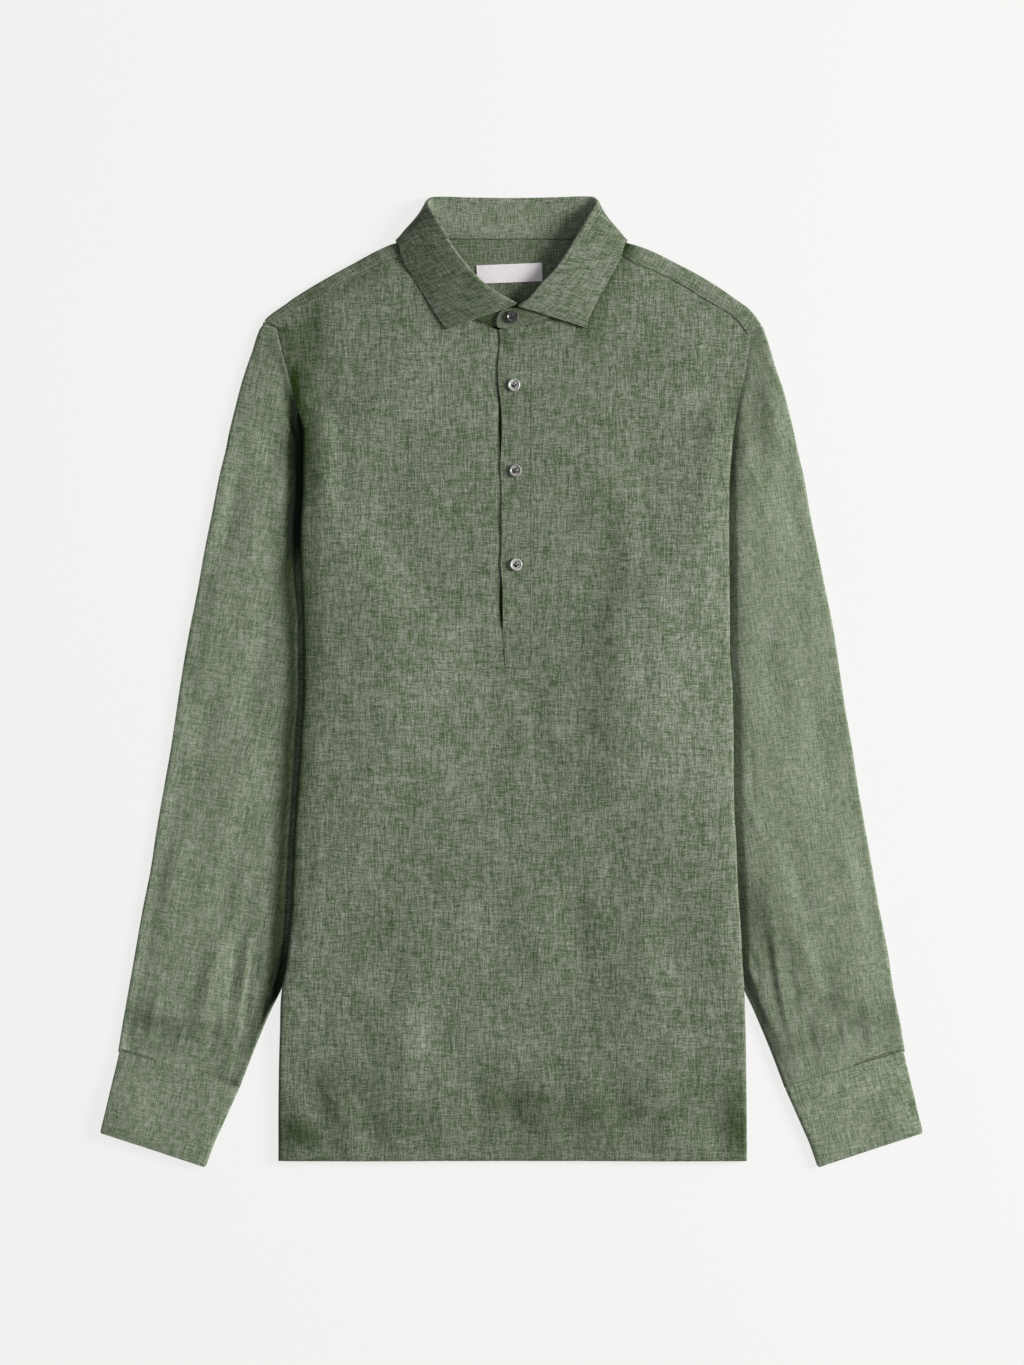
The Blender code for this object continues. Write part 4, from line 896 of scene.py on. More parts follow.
def make_sleeve(name, stations, side, table):
    curve = armhole_curve(side)
    run = np.concatenate([[0], np.cumsum(np.linalg.norm(np.diff(curve, axis=0), axis=1))])
    run /= run[-1]
    on_curve = lambda u: np.stack([np.interp(u, run, curve[:, k]) for k in (0, 1)], axis=-1)
    keys = np.arange(len(stations))
    get = lambda pick: track(keys, [pick(s) for s in stations])
    ox, oy = get(lambda s: s.outer[0]), get(lambda s: s.outer[1])
    ix, iy = get(lambda s: s.inner[0]), get(lambda s: s.inner[1])
    tucked_f, bend_f, crest_f = get(lambda s: s.tucked), get(lambda s: s.bend), get(lambda s: s.crest)
    fine = []
    for a in range(len(stations) - 1):
        p, q = stations[a], stations[a + 1]
        step = hypot(q.outer[0] - p.outer[0], q.outer[1] - p.outer[1])
        n = max(int(step / 3.2), 3)
        fine += list(a + np.arange(n) / n)
    fine.append(len(stations) - 1.0)
    u_top = np.linspace(0, 1, 64)
    u_low = np.linspace(1, 0, 26)
    grid, flat, deep = [], [], []
    turn = radians(10.5 if side < 0 else -10.5)
    for s in fine:
        outer = np.array([float(ox(s)), float(oy(s))])
        if -296.0 < outer[1] < 284.0:
            outer[0] = float(out_minus(outer[1]) if side < 0 else out_plus(outer[1]))
        inner = np.array([float(ix(s)), float(iy(s))])
        tucked, bend, crest = float(tucked_f(s)), float(bend_f(s)), float(crest_f(s))

        def at(u):
            u = np.asarray(u, float)
            p = outer + (inner - outer) * u[..., None]
            if bend > 0:
                c = curve[0] + (curve[-1] - curve[0]) * u[..., None]
                p = p + (on_curve(u) - c) * bend
            return p

        length = hypot(*(inner - outer))
        probe = np.linspace(0, 1, 401)
        pp = at(probe)
        edge = side_minus(clip_y(pp[:, 1])) if side < 0 else side_plus(clip_y(pp[:, 1]))
        over = np.where(pp[:, 1] > TOP_Y, arm_edge(side, pp[:, 1]), edge)
        inside = (pp[:, 0] > over) if side < 0 else (pp[:, 0] < over)
        cross = probe[int(np.argmax(inside))] if inside.any() else 1.0
        cross = min(cross, 0.94)
        y_cross = float(at(cross)[1])
        gap = float(gap_minus(y_cross) if side < 0 else gap_plus(y_cross))
        head = smooth((s - (len(stations) - 2.0)) / 0.9)
        off = side * (pp[:, 0] - over)

        def out_from(far, near_head):
            """The place where the sleeve is this far out from the body's edge."""
            close = np.nonzero(off < far)[0]
            u_off = probe[close[0]] if len(close) and close[0] > 0 else cross - far / length
            return float(mix(min(u_off, cross), cross - near_head / length, head))

        crest_u = out_from(gap + 8.0, 3.0)
        shoulder_u = out_from(gap + 0.4, 1.4)
        valley_u = out_from(max(gap * 0.35, 1.8), 0.2)
        low_flat = HALF + 2 * SLEEVE_FLAT
        t_flat = tucked
        inner_r = mix(SLEEVE_INNER, SLEEVE_FLAT, t_flat)
        e_u = (SLEEVE_EDGE + CLOTH / 2) / length
        i_u = 1.0 - (inner_r + CLOTH / 2) / length
        us = [e_u, 0.12 * cross, 0.36 * cross, 0.64 * cross, crest_u, shoulder_u, valley_u,
              mix(valley_u, i_u, 0.4), i_u]
        for k in range(1, len(us)):
            us[k] = max(us[k], us[k - 1] + 0.004)
        edge_top = HALF + 2 * SLEEVE_EDGE
        free = [edge_top, crest * 0.70, crest * 0.88, crest * 0.98, crest * 0.97, crest * 0.92, crest * 0.88,
                crest * 0.80, HALF + 2 * inner_r]
        held = [edge_top, crest * 0.68, crest * 0.85, crest * 0.96, crest, crest * 0.86, low_flat + 0.1,
                low_flat, HALF + 2 * inner_r]
        at_head = [4.2, 4.4, 4.45, 4.45, 4.45, 4.3, 3.4, low_flat, low_flat]
        held = [mix(a, b, float(head)) for a, b in zip(held, at_head)]
        zs = [mix(a, b, tucked) for a, b in zip(free, held)]
        top_fn = track(us, zs, 10)
        u = e_u + (i_u - e_u) * u_top
        xy = at(u)
        z = top_fn(u)
        shown_w = smooth((valley_u - u) * length / 12.0 + 0.1) if tucked > 0.5 else np.ones_like(u)
        rim = smooth((u - e_u) * length / 14.0) * (smooth((i_u - u) * length / 12.0) if tucked < 0.5 else 1.0)
        move = 1.45 * creased(xy[:, 0], xy[:, 1], table) + 1.0 * (
            0.42 * drift(xy[:, 0], xy[:, 1], 46.0, 21) + 0.28 * drift(xy[:, 0], xy[:, 1] * 0.6, 20.0, 22)
            + 0.10 * drift(xy[:, 0], xy[:, 1], 11.0, 23))
        z = z + move * shown_w * rim * float(1 - 0.85 * smooth((s - (len(stations) - 1.7)) / 0.7))
        into = smooth((s - (len(stations) - 1.34)) / 0.34) * smooth((xy[:, 1] - TOP_Y + 6.0) / 10.0)
        xy = xy - np.stack([side * 1.15 * into, -0.55 * into], axis=1)
        z = z - 1.05 * smooth((s - (len(stations) - 1.16)) / 0.16) * smooth((xy[:, 1] - TOP_Y + 2.0) / 8.0)
        top = np.concatenate([xy, z[:, None]], axis=1)
        a = at(np.array(1.0 - CLOTH / 2 / length))
        inner_arc = [np.array([*(mix(at(np.array(i_u)), a, sin(t))), HALF + inner_r + inner_r * cos(t)])
                     for t in (pi * 0.25, pi * 0.5, pi * 0.75)]
        ul = i_u + (e_u - i_u) * (1 - u_low)
        low_xy = at(ul)
        low = np.concatenate([low_xy, np.full((len(ul), 1), CLOTH / 2)], axis=1)
        o = at(np.array(CLOTH / 2 / length))
        outer_arc = [np.array([*(mix(at(np.array(e_u)), o, sin(t))), CLOTH / 2 + (edge_top - CLOTH / 2) * (0.5 - 0.5 * cos(t))])
                     for t in (pi * 0.25, pi * 0.5, pi * 0.75)]
        ring = np.concatenate([top, np.array(inner_arc), low, np.array(outer_arc)], axis=0)
        grid.append(ring)
        fx = ring[:, 0] * cos(turn) - ring[:, 1] * sin(turn)
        fy = ring[:, 0] * sin(turn) + ring[:, 1] * cos(turn)
        flat.append(np.stack([fx, fy], axis=1))
        # painted shade: on the minus side the sleeve darkens into the gap beside the body; on the plus side painted
        # shade and highlight along the gap vary with height; the inner rim low down gets painted shade, the outer rim
        # painted highlight on the minus side and a little painted shade on the plus side
        dark = np.zeros(len(ring))
        reach = 3.2 if side < 0 else 3.0
        out_here = np.interp(u, probe, off)
        gap_here = gap_minus(xy[:, 1]) if side < 0 else gap_plus(xy[:, 1])
        shut = smooth((gap_here + reach * 0.55 - out_here) / reach) * smooth((gap_here - 1.4) / 3.0)
        if side < 0:
            high = smooth((xy[:, 1] - 78.0) / 34.0)
            past = np.clip(out_here - gap_here + mix(-2.2, 0.6, high), 0, None)
            core = np.exp(-(past / mix(6.5, 4.8, high)) ** mix(1.8, 1.3, high))
            amount = mix(0.48 + 0.43 * smooth((out_here - 2.5) / 4.0), 1.0, high)
            dark[:len(u)] = amount * core * smooth((gap_here - 1.4) / 3.0)
        else:
            gap_shade_and_highlight = shut * np.interp(xy[:, 1], [-200, -159, -95, -31, 17, 65, 137, 152, 165, 200, 215, 240],
                                         [0.12, 0.1, -0.5, -0.35, -0.5, -0.18, -0.14, 0.1, 0.55, 0.6, 0.45, 0.12])
        rim_shade_and_highlight = np.zeros(len(ring))
        low_down = smooth((-186.0 - inner[1]) / 40.0)
        rim_shade_and_highlight[len(u) - 6:len(u) + 4] = (0.42 if side < 0 else 0.30) * low_down * np.array([0.3, 0.5, 0.7, 0.85, 1, 1, 1, 1, 1, 1])
        rim_shade_and_highlight[-3:] = rim_shade_and_highlight[:2] = -0.36 if side < 0 else 0.10
        rim_shade_and_highlight[2:5] = (-0.28, -0.2, -0.1) if side < 0 else (0.05, 0.03, 0.0)
        rim_shade_and_highlight = rim_shade_and_highlight * (smooth((250.0 - outer[1]) / 80.0) if side < 0 else 1.0)
        tone = creased(xy[:, 0], xy[:, 1], SLEEVE_M_PAINTED_SHADE if side < 0 else SLEEVE_P_PAINTED_SHADE)
        dark[:len(u)] = np.clip(np.maximum(dark[:len(u)], 0) + tone * (1 - dark[:len(u)]), -0.3, 1)
        if side > 0:
            dark[:len(u)] = dark[:len(u)] + gap_shade_and_highlight
        deep.append(np.clip(dark + rim_shade_and_highlight, -0.36 if side < 0 else -0.55, 1))
    return sheet_mesh(name, np.array(grid), CLOTH, flat=np.array(flat), ring=True, depth=np.array(deep))


def ribbon(name, centre, across, z, wall=0.5, dark=0.35):
    """A seam's turned-in edges, as one narrow strip along it."""
    c = np.asarray(centre, float)
    tan = np.gradient(c, axis=0)
    tan /= np.linalg.norm(tan, axis=1, keepdims=True)
    out = np.stack([-tan[:, 1], tan[:, 0]], axis=1)
    cols = [np.concatenate([c + out * f, np.full((len(c), 1), z)], axis=1) for f in across]
    # dark is painted shade for the strip, carried as its depth
    return sheet_mesh(name, np.stack(cols, axis=1), wall, depth=np.full((len(c), len(cols)), dark))


def seam_edges():
    """The turned-in edges inside the armhole and the cuff seams."""
    out = []
    for side, word, cuff in ((-1, "right", CUFF_M), (1, "left", CUFF_P)):
        ys = np.linspace(194.0, 276.0, 34)
        line = np.stack([arm_edge(side, ys) + side * 0.3, ys], axis=1)
        tip = (-196.6, 286.8) if side < 0 else (198.6, 283.4)
        line = np.vstack([line, mix(line[-1:], np.array([tip]), np.linspace(0.25, 1.0, 6)[:, None])])
        # the armhole and cuff strips are real turned-in edges, darkened by painted shade as they show only in the
        # seams' shadowed gaps
        out.append(ribbon("armhole_edge_" + word, line, (-4.2, -1.4, 1.4, 4.2), 1.3, 0.45))
        a, b = np.array(cuff[0].outer), np.array(cuff[0].inner)
        line = a + (b - a) * np.linspace(0.03, 0.955, 34)[:, None] + np.array([0.0, 0.4])
        out.append(ribbon("cuff_edge_" + word, line, (-4.0, -1.3, 1.3, 4.0), 4.25, 0.5, 0.05))
    return out


Cuff = namedtuple("Cuff", "outer inner")
CUFF_M = [Cuff((-315.4, -297.8), (-218.3, -327.3)), Cuff((-318.9, -312.8), (-224.9, -341.8)),
          Cuff((-322.9, -330.2), (-232.2, -357.8)), Cuff((-326.1, -344.2), (-238.2, -371.0)),
          Cuff((-330.3, -361.0), (-244.9, -389.4))]
CUFF_P = [Cuff((315.4, -297.8), (219.1, -326.9)), Cuff((318.9, -312.8), (225.7, -341.6)),
          Cuff((322.9, -330.2), (232.8, -357.6)), Cuff((326.1, -344.2), (238.6, -370.8)),
          Cuff((330.3, -361.0), (245.1, -389.4))]
CUFF_BUTTON = (315.6, -345.6)
CUFF_SECTION = [(0.36, 2.75), (0.20, 2.75), (0.05, 2.8), (0.018, 4.1), (0.05, 5.4), (0.30, 5.9),
                (0.70, 5.8), (0.955, 5.0), (0.991, 2.9), (0.955, 0.75), (0.62, 0.75), (0.34, 0.75),
                (0.18, 0.75), (0.055, 0.75)]


# Painted shade on the cuffs as they show, and painted highlight where below 0.
CUFF_PAINTED_SHADE = [
    Crease(-246, -372, -243, -389, 0, 6, 0.25, 0), Crease(246, -376, 247, -390, 0, 6, 0.18, 0),
    Crease(316, -326, 328, -352, 0, 4, 0.26, 0),
    Crease(-240, -312.5, -212, -327.5, 0, 2.4, 0.75, 0), Crease(-330, -300, -296, -304, 0, 6, -0.10, 0),
    Crease(-250, -326, -222, -340, 0, 7, 0.10, 0), Crease(-330, -356, -250, -386, 0, 3, 0.10, 0),
    Crease(240, -312.5, 212, -327.5, 0, 2.4, 0.75, 0), Crease(322, -300, 300, -304, 0, 5, 0.16, 0),
    Crease(250, -326, 222, -340, 0, 7, 0.12, 0), Crease(330, -356, 250, -386, 0, 3, 0.08, 0),
]
CUFF_CREASES = [
    Crease(-300, -314, -240, -332, 2, 5, -0.35, 0.2), Crease(-308, -330, -262, -346, -2, 6, 0.3, 0.2),
    Crease(-250, -334, -232, -344, 1, 3, 0.35, 0.2), Crease(-296, -352, -262, -366, 1, 5, -0.3, 0.2),
    Crease(300, -314, 240, -332, -2, 5, -0.35, 0.2), Crease(308, -330, 262, -346, 2, 6, 0.3, 0.2),
    Crease(252, -330, 234, -342, 1, 3, 0.35, 0.2), Crease(318, -340, 300, -356, 1, 5, 0.35, 0.2),
]


def cuff_lift(x, y, side):
    d = np.hypot(x - side * CUFF_BUTTON[0], y - CUFF_BUTTON[1])
    return 2.95 * smooth((38.0 - d) / 30.0)


def make_cuff(name, stations, side):
    pick = np.round(np.concatenate([np.linspace(0, 0.95, 23), [0.968, 0.982, 0.992, 1.0]]) * 399).astype(int)
    outer = polyline([s.outer for s in stations], 400)[pick]
    inner = polyline([s.inner for s in stations], 400)[pick]
    along = (outer - inner) / np.linalg.norm(outer - inner, axis=1, keepdims=True)
    left = np.clip(1.0 - np.linalg.norm(inner - inner[-1], axis=1) / 3.0, 0, 1)[:, None]
    inner = inner + along * 3.0 * (1 - np.sqrt(np.clip(1 - left ** 2, 0, 1))) * 0.4
    outer = outer - along * 3.0 * (1 - np.sqrt(np.clip(1 - left ** 2, 0, 1))) * 0.4
    rows = len(pick)
    painted_shade_grid = []
    sect = polyline(CUFF_SECTION, 110, 0.42)
    grid, flat = [], []
    turn = radians(14.0 if side < 0 else -14.0)
    for k in range(rows):
        xy = outer[k] + (inner[k] - outer[k]) * sect[:, :1]
        lap = smooth((sect[:, 1:] - 3.4) / 1.2) * max(0.0, 1.0 - k / 5.0)
        xy = xy + lap * np.array([-side * 0.45, 2.1])
        top = smooth((sect[:, 1] - 4.6) / 0.8)
        z = sect[:, 1] + cuff_lift(xy[:, 0], xy[:, 1], side) * 0.9 + 0.12 * lap[:, 0]
        z = z + smooth((sect[:, 1] - 4.6) / 0.8) * creased(xy[:, 0], xy[:, 1], CUFF_CREASES) * smooth((rows - 1 - k) / 6.0)
        z = z + top * (0.28 * drift(xy[:, 0], xy[:, 1], 26, 31) + 0.12 * drift(xy[:, 0], xy[:, 1], 9, 32))
        grid.append(np.concatenate([xy, z[:, None]], axis=1))
        # painted shade along the plus cuff's outer end, painted highlight along the minus cuff's
        edge_shade_and_highlight = np.exp(-sect[:, 0] / 0.012) * (0.30 if side > 0 else -0.2)
        painted_shade_grid.append(creased(xy[:, 0], xy[:, 1], CUFF_PAINTED_SHADE) * top + edge_shade_and_highlight)
        flat.append(np.stack([xy[:, 0] * cos(turn) - xy[:, 1] * sin(turn),
                              xy[:, 0] * sin(turn) + xy[:, 1] * cos(turn)], axis=1))
    return sheet_mesh(name, np.array(grid), FUSED, flat=np.array(flat), depth=np.clip(np.array(painted_shade_grid), -0.3, 0.9))


# ---------------------------------------------------------------- the collar
# One row a section round the neck: the stand's seam, the roll line, the middle of the leaf and the
# leaf's edge, and the room inside the roll.
Collar = namedtuple("Collar", "seam roll leaf edge room")
COLLAR_M = [
    Collar((0.0, 354.2, 3.55), (0.0, 386.5, 3.3), (0.0, 366.0, 0.9), (0.0, 343.2, 0.75), 2.1),
    Collar((-33.0, 354.2, 3.55), (-33.0, 386.9, 3.3), (-33.0, 366.0, 0.9), (-33.0, 343.2, 0.75), 2.1),
    Collar((-50.0, 354.2, 3.6), (-51.0, 387.5, 3.7), (-51.0, 365.0, 1.0), (-52.0, 343.4, 0.75), 2.2),
    Collar((-61.0, 354.0, 3.9), (-62.6, 387.0, 5.2), (-64.0, 364.0, 1.6), (-66.0, 344.0, 0.75), 2.6),
    Collar((-68.0, 352.2, 4.8), (-66.0, 383.0, 9.2), (-78.0, 366.0, 3.0), (-82.0, 344.4, 0.78), 3.2),
    Collar((-70.6, 348.0, 6.6), (-62.8, 375.8, 13.4), (-87.0, 363.0, 6.6), (-92.0, 350.6, 1.8), 3.2),
    Collar((-71.4, 343.0, 8.4), (-58.0, 367.0, 16.2), (-82.0, 361.0, 12.2), (-92.5, 352.6, 6.6), 2.8),
    Collar((-70.2, 337.0, 9.2), (-53.0, 358.0, 17.2), (-78.0, 355.0, 14.8), (-90.0, 347.4, 10.4), 2.2),
    Collar((-67.6, 328.0, 8.9), (-47.5, 347.6, 17.0), (-72.0, 342.0, 14.8), (-87.0, 337.0, 10.0), 2.4),
    Collar((-63.6, 318.0, 8.2), (-38.0, 335.2, 15.6), (-63.0, 328.0, 13.6), (-78.4, 322.4, 7.8), 2.8),
    Collar((-53.0, 305.4, 6.8), (-25.2, 320.8, 13.0), (-52.0, 312.6, 12.2), (-68.0, 305.6, 6.7), 3.4),
    Collar((-38.0, 294.0, 5.6), (-12.4, 311.6, 9.6), (-38.0, 301.0, 11.2), (-58.6, 290.8, 6.5), 4.0),
    Collar((-24.0, 288.0, 5.2), (-2.8, 306.0, 7.6), (-28.0, 295.4, 11.0), (-52.6, 282.6, 6.8), 4.1),
    Collar((-14.0, 284.4, 5.0), (4.0, 302.2, 6.8), (-23.6, 290.8, 10.8), (-51.4, 281.4, 6.9), 4.1),
]
COLLAR_P = [
    Collar((33.0, 354.2, 3.55), (33.0, 387.0, 3.3), (33.0, 366.0, 0.9), (33.0, 343.2, 0.75), 2.1),
    Collar((50.0, 354.2, 3.6), (52.0, 387.7, 3.7), (51.0, 365.0, 1.0), (52.0, 343.4, 0.75), 2.2),
    Collar((61.0, 354.0, 3.9), (63.6, 387.4, 5.2), (64.0, 364.0, 1.6), (66.0, 344.0, 0.75), 2.6),
    Collar((68.0, 352.2, 4.8), (67.2, 383.4, 9.2), (78.0, 366.0, 3.0), (82.0, 344.4, 0.78), 3.2),
    Collar((70.6, 348.0, 6.6), (63.8, 376.4, 12.6), (87.0, 363.0, 6.6), (92.0, 350.6, 1.8), 3.2),
    Collar((71.4, 343.0, 8.4), (58.8, 367.6, 14.4), (82.0, 361.0, 11.4), (92.5, 352.6, 6.6), 2.8),
    Collar((70.2, 337.0, 9.2), (52.4, 356.4, 14.9), (78.0, 355.0, 13.0), (90.0, 347.4, 10.4), 2.2),
    Collar((67.6, 328.0, 8.9), (45.0, 344.4, 14.7), (72.0, 341.0, 13.0), (87.0, 337.0, 10.0), 2.4),
    Collar((63.6, 318.0, 8.2), (35.6, 330.6, 14.0), (62.0, 326.0, 12.3), (79.6, 324.0, 9.0), 2.4),
    Collar((53.0, 305.4, 7.0), (24.4, 318.4, 12.7), (50.0, 311.0, 11.6), (70.6, 307.0, 7.6), 2.4),
    Collar((40.0, 295.6, 7.0), (14.0, 306.8, 11.4), (38.0, 301.4, 11.6), (62.4, 291.0, 7.2), 2.4),
    Collar((29.0, 290.6, 7.1), (8.0, 302.4, 10.2), (32.0, 296.6, 10.8), (60.8, 283.4, 7.2), 2.2),
    Collar((22.0, 288.4, 7.2), (4.9, 299.8, 9.6), (28.0, 292.8, 10.4), (60.6, 282.2, 7.3), 2.1),
]
End = namedtuple("End", "seam top")
STAND_UNDER = [End((-4.0, 282.6, 4.9), (8.4, 299.0, 5.8)), End((5.0, 282.4, 4.8), (12.6, 295.6, 5.2)),
               End((12.6, 284.6, 4.7), (14.4, 292.0, 4.9))]
STAND_OVER = [End((12.0, 285.0, 7.3), (-1.6, 298.0, 8.5)), End((2.0, 282.4, 7.4), (-7.4, 296.2, 8.3)),
              End((-6.0, 281.8, 7.4), (-10.4, 292.8, 8.0)), End((-11.4, 283.2, 7.5), (-11.9, 288.4, 7.8))]
STAND_SHORT = 4.6


def collar_sections(n):
    rows = COLLAR_M[::-1] + COLLAR_P
    flat = np.array([list(c.seam) + list(c.roll) + list(c.leaf) + list(c.edge) + [c.room] for c in rows])
    # sections stay where the table puts them, so that the corners keep their shape
    keys = np.arange(len(rows), dtype=float)
    fns = [track(keys, flat[:, k], 12) for k in range(flat.shape[1])]
    roll = flat[:, 3:6]
    gaps = np.linalg.norm(np.diff(roll, axis=0), axis=1) + 0.5 * np.linalg.norm(np.diff(flat[:, 9:12], axis=0), axis=1)
    want = []
    for k, g in enumerate(gaps):
        m = max(int(round(g / n)), 4)
        want += list(k + np.arange(m) / m)
    want.append(len(rows) - 1.0)
    want = np.array(want)
    v = np.stack([f(want) for f in fns], axis=1)
    seam, roll, leaf, edge, room = v[:, :3], v[:, 3:6], v[:, 6:9], v[:, 9:12], v[:, 12]
    up = roll - seam
    up /= np.linalg.norm(up, axis=1, keepdims=True)
    mid = seam + roll
    run = np.empty_like(mid)
    run[1:-1] = mid[:-2] - mid[2:]
    run[0], run[-1] = mid[0] - mid[1], mid[-2] - mid[-1]
    out = np.cross(run, up)
    out /= np.linalg.norm(out, axis=1, keepdims=True)
    for _ in range(26):
        soft = out.copy()
        soft[1:-1] = out[:-2] + 2 * out[1:-1] + out[2:]
        soft -= up * (soft * up).sum(axis=1, keepdims=True)
        out = soft / np.linalg.norm(soft, axis=1, keepdims=True)
    return seam, roll, leaf, edge, up, out, room


def make_stand():
    seam, roll, _, _, up, _, _ = collar_sections(2.4)
    top = roll - up * STAND_SHORT
    ends = []
    for group, first in ((STAND_UNDER, 0), (STAND_OVER, -1)):
        s = polyline([tuple(seam[first])] + [e.seam for e in group], 16, 0.45)[1:]
        t = polyline([tuple(top[first])] + [e.top for e in group], 16, 0.45)[1:]
        ends.append((s, t))
    s = np.concatenate([ends[0][0][::-1], seam, ends[1][0]])
    t = np.concatenate([ends[0][1][::-1], top, ends[1][1]])
    u = np.linspace(0, 1, 13)
    grid = s[:, None] * (1 - u)[None, :, None] + t[:, None] * u[None, :, None]
    grid[:, :, 2] += (0.22 * drift(grid[:, :, 0], grid[:, :, 1], 14, 41)) * (np.sin(pi * u))[None]
    run = np.concatenate([[0], np.cumsum(np.linalg.norm(np.diff((s + t) / 2, axis=0), axis=1))])
    flat = np.stack([np.repeat(run[:, None], 13, 1), np.repeat((u * 30)[None], len(s), 0)], axis=2)
    # painted shade on the stand: to the right under the collar wall's shadow, at its left end and near the front
    # middle; painted highlight along its top at the back
    gx, gy = grid[:, :, 0], grid[:, :, 1]
    right = smooth((gx - 10.0) / 16.0) * smooth((gy - 296.0) / 14.0)
    lower = 0.26 * np.exp(-u * 2.6)[None] * right
    left = smooth((-gx - 30.0) / 20.0) * 0.25 * np.exp(-u * 2.0)[None]
    left = np.maximum(left, 0.62 * smooth((-gx - 9.0) / 6.0) * smooth((302.0 - gy) / 8.0))
    left = np.maximum(left, 0.46 * np.exp(-(((gx - 8.0) / 18.0) ** 2 + ((gy - 292.0) / 11.0) ** 2)))
    pale = 0.16 * smooth((gy - 352.0) / 6.0)
    return sheet_mesh("shirt_collar_stand", grid, FUSED, flat=flat, depth=np.clip(np.maximum(lower, left) - pale, -0.3, 1))


LEAF_ROWS = []


def neck_edges():
    """The turned-in edges of the neck seam, between the front and the stand."""
    seam = collar_sections(2.4)[0]
    out = []
    for word, keep, zs in (("right", (seam[:, 0] > -52) & (seam[:, 0] < -10.4) & (seam[:, 1] < 312), (4.25, 4.28, 4.2, 4.05, 3.8)),
                           ("left", (seam[:, 0] > 16.4) & (seam[:, 0] < 52) & (seam[:, 1] < 312), (6.0, 5.9, 5.3, 4.5, 3.8))):
        c = seam[keep][:, :2]
        tan = np.gradient(c, axis=0)
        tan /= np.linalg.norm(tan, axis=1, keepdims=True)
        away = np.stack([-tan[:, 1], tan[:, 0]], axis=1)
        away *= np.where(away[:, 1:] > 0, -1.0, 1.0)
        cols = [np.concatenate([c + away * d, np.full((len(c), 1), z)], axis=1)
                for d, z in zip((-2.0, 0.0, 1.6, 3.2, 5.0), zs)]
        grid = np.stack(cols, axis=1)
        # painted shade darkens these strips
        out.append(sheet_mesh("neck_edge_" + word, grid, 0.45, depth=np.full(grid.shape[:2], 0.30)))
    keep = (seam[:, 0] > 11.6) & (seam[:, 0] < 24.0) & (seam[:, 1] < 300)
    c = np.vstack([[(12.0, 285.4)], seam[keep][:, :2]]) if keep.any() else np.array([(12.0, 285.4), (20.0, 287.6)])
    c = polyline([tuple(p) for p in c], 12)
    cols = [np.concatenate([c + np.array([0.25, -1.0]) * d, np.full((len(c), 1), z)], axis=1)
            for d, z in zip((-2.0, -0.4, 0.6, 1.4, 2.4), (6.2, 6.0, 5.9, 5.8, 5.72))]
    grid = np.stack(cols, axis=1)
    # painted shade darkens this strip too
    out.append(sheet_mesh("neck_edge_middle", grid, 0.3, depth=np.full(grid.shape[:2], 0.25)))
    return out


def make_leaf():
    seam, roll, leaf, edge, up, out, room = collar_sections(2.0)
    n = len(seam)
    room = room[:, None]
    inner = roll - up * (room / 2)
    start = roll - up * (STAND_SHORT - 0.12)
    outer = inner + out * room
    centre = (inner + outer) / 2
    cols = [start, (start + inner) / 2, inner]
    for k in range(1, 8):
        a = pi * k / 8
        cols.append(centre - out * (room / 2) * cos(a) + up * (room / 2) * sin(a))
    cols.append(outer)
    n_leaf = 26
    for k in range(1, n_leaf + 1):
        t = k / n_leaf
        p = outer * (1 - t) ** 2 + leaf * (2 * t * (1 - t)) + edge * t * t
        crown = sin(pi * t)
        p = p.copy()
        over = smooth((out[:, 2] - 0.1) / 0.5)
        p[:, 2] += over * (0.5 * drift(p[:, 0], p[:, 1], 24, 43) * crown + 0.16 * drift(p[:, 0], p[:, 1], 9, 44) * crown)
        cols.append(p)
    grid = np.stack(cols, axis=1)
    across = np.concatenate([[0], np.cumsum(np.linalg.norm(np.diff(grid[:, 20], axis=0), axis=1))])
    down = np.concatenate([np.zeros((n, 1)), np.cumsum(np.linalg.norm(np.diff(grid, axis=1), axis=2), axis=1)], axis=1)
    flat = np.stack([np.repeat(across[:, None], grid.shape[1], 1), down], axis=2)
    t = np.concatenate([np.ones(11), np.linspace(1, 1, n_leaf)])
    shown = np.concatenate([np.zeros(9), np.ones(grid.shape[1] - 9)])[None]
    # painted shade: the leaf on the minus side darker, and at the join of the leaves; painted highlight along the top
    # at the back; painted shade on the plus leaf's outer top
    deep = 0.20 * smooth((-grid[:, :, 0] - 2.0) / 14.0) * shown
    meet = np.exp(-((grid[:, :, 0] + 1.0) / 6.0) ** 2 - ((grid[:, :, 1] - 300.5) / 4.0) ** 2)
    deep = np.maximum(deep, 0.45 * meet * shown)
    deep = deep - 0.24 * smooth((grid[:, :, 1] - 376.0) / 6.0)
    deep = deep + 0.22 * smooth((grid[:, :, 0] - 64.0) / 4.0) * smooth((grid[:, :, 1] - 350.0) / 6.0) * shown
    LEAF_ROWS[:] = []
    LEAF_ROWS.extend(grid)
    return sheet_mesh("shirt_collar_leaf", grid, FUSED, flat=flat, taper=np.repeat(t[None], n, 0), depth=deep)


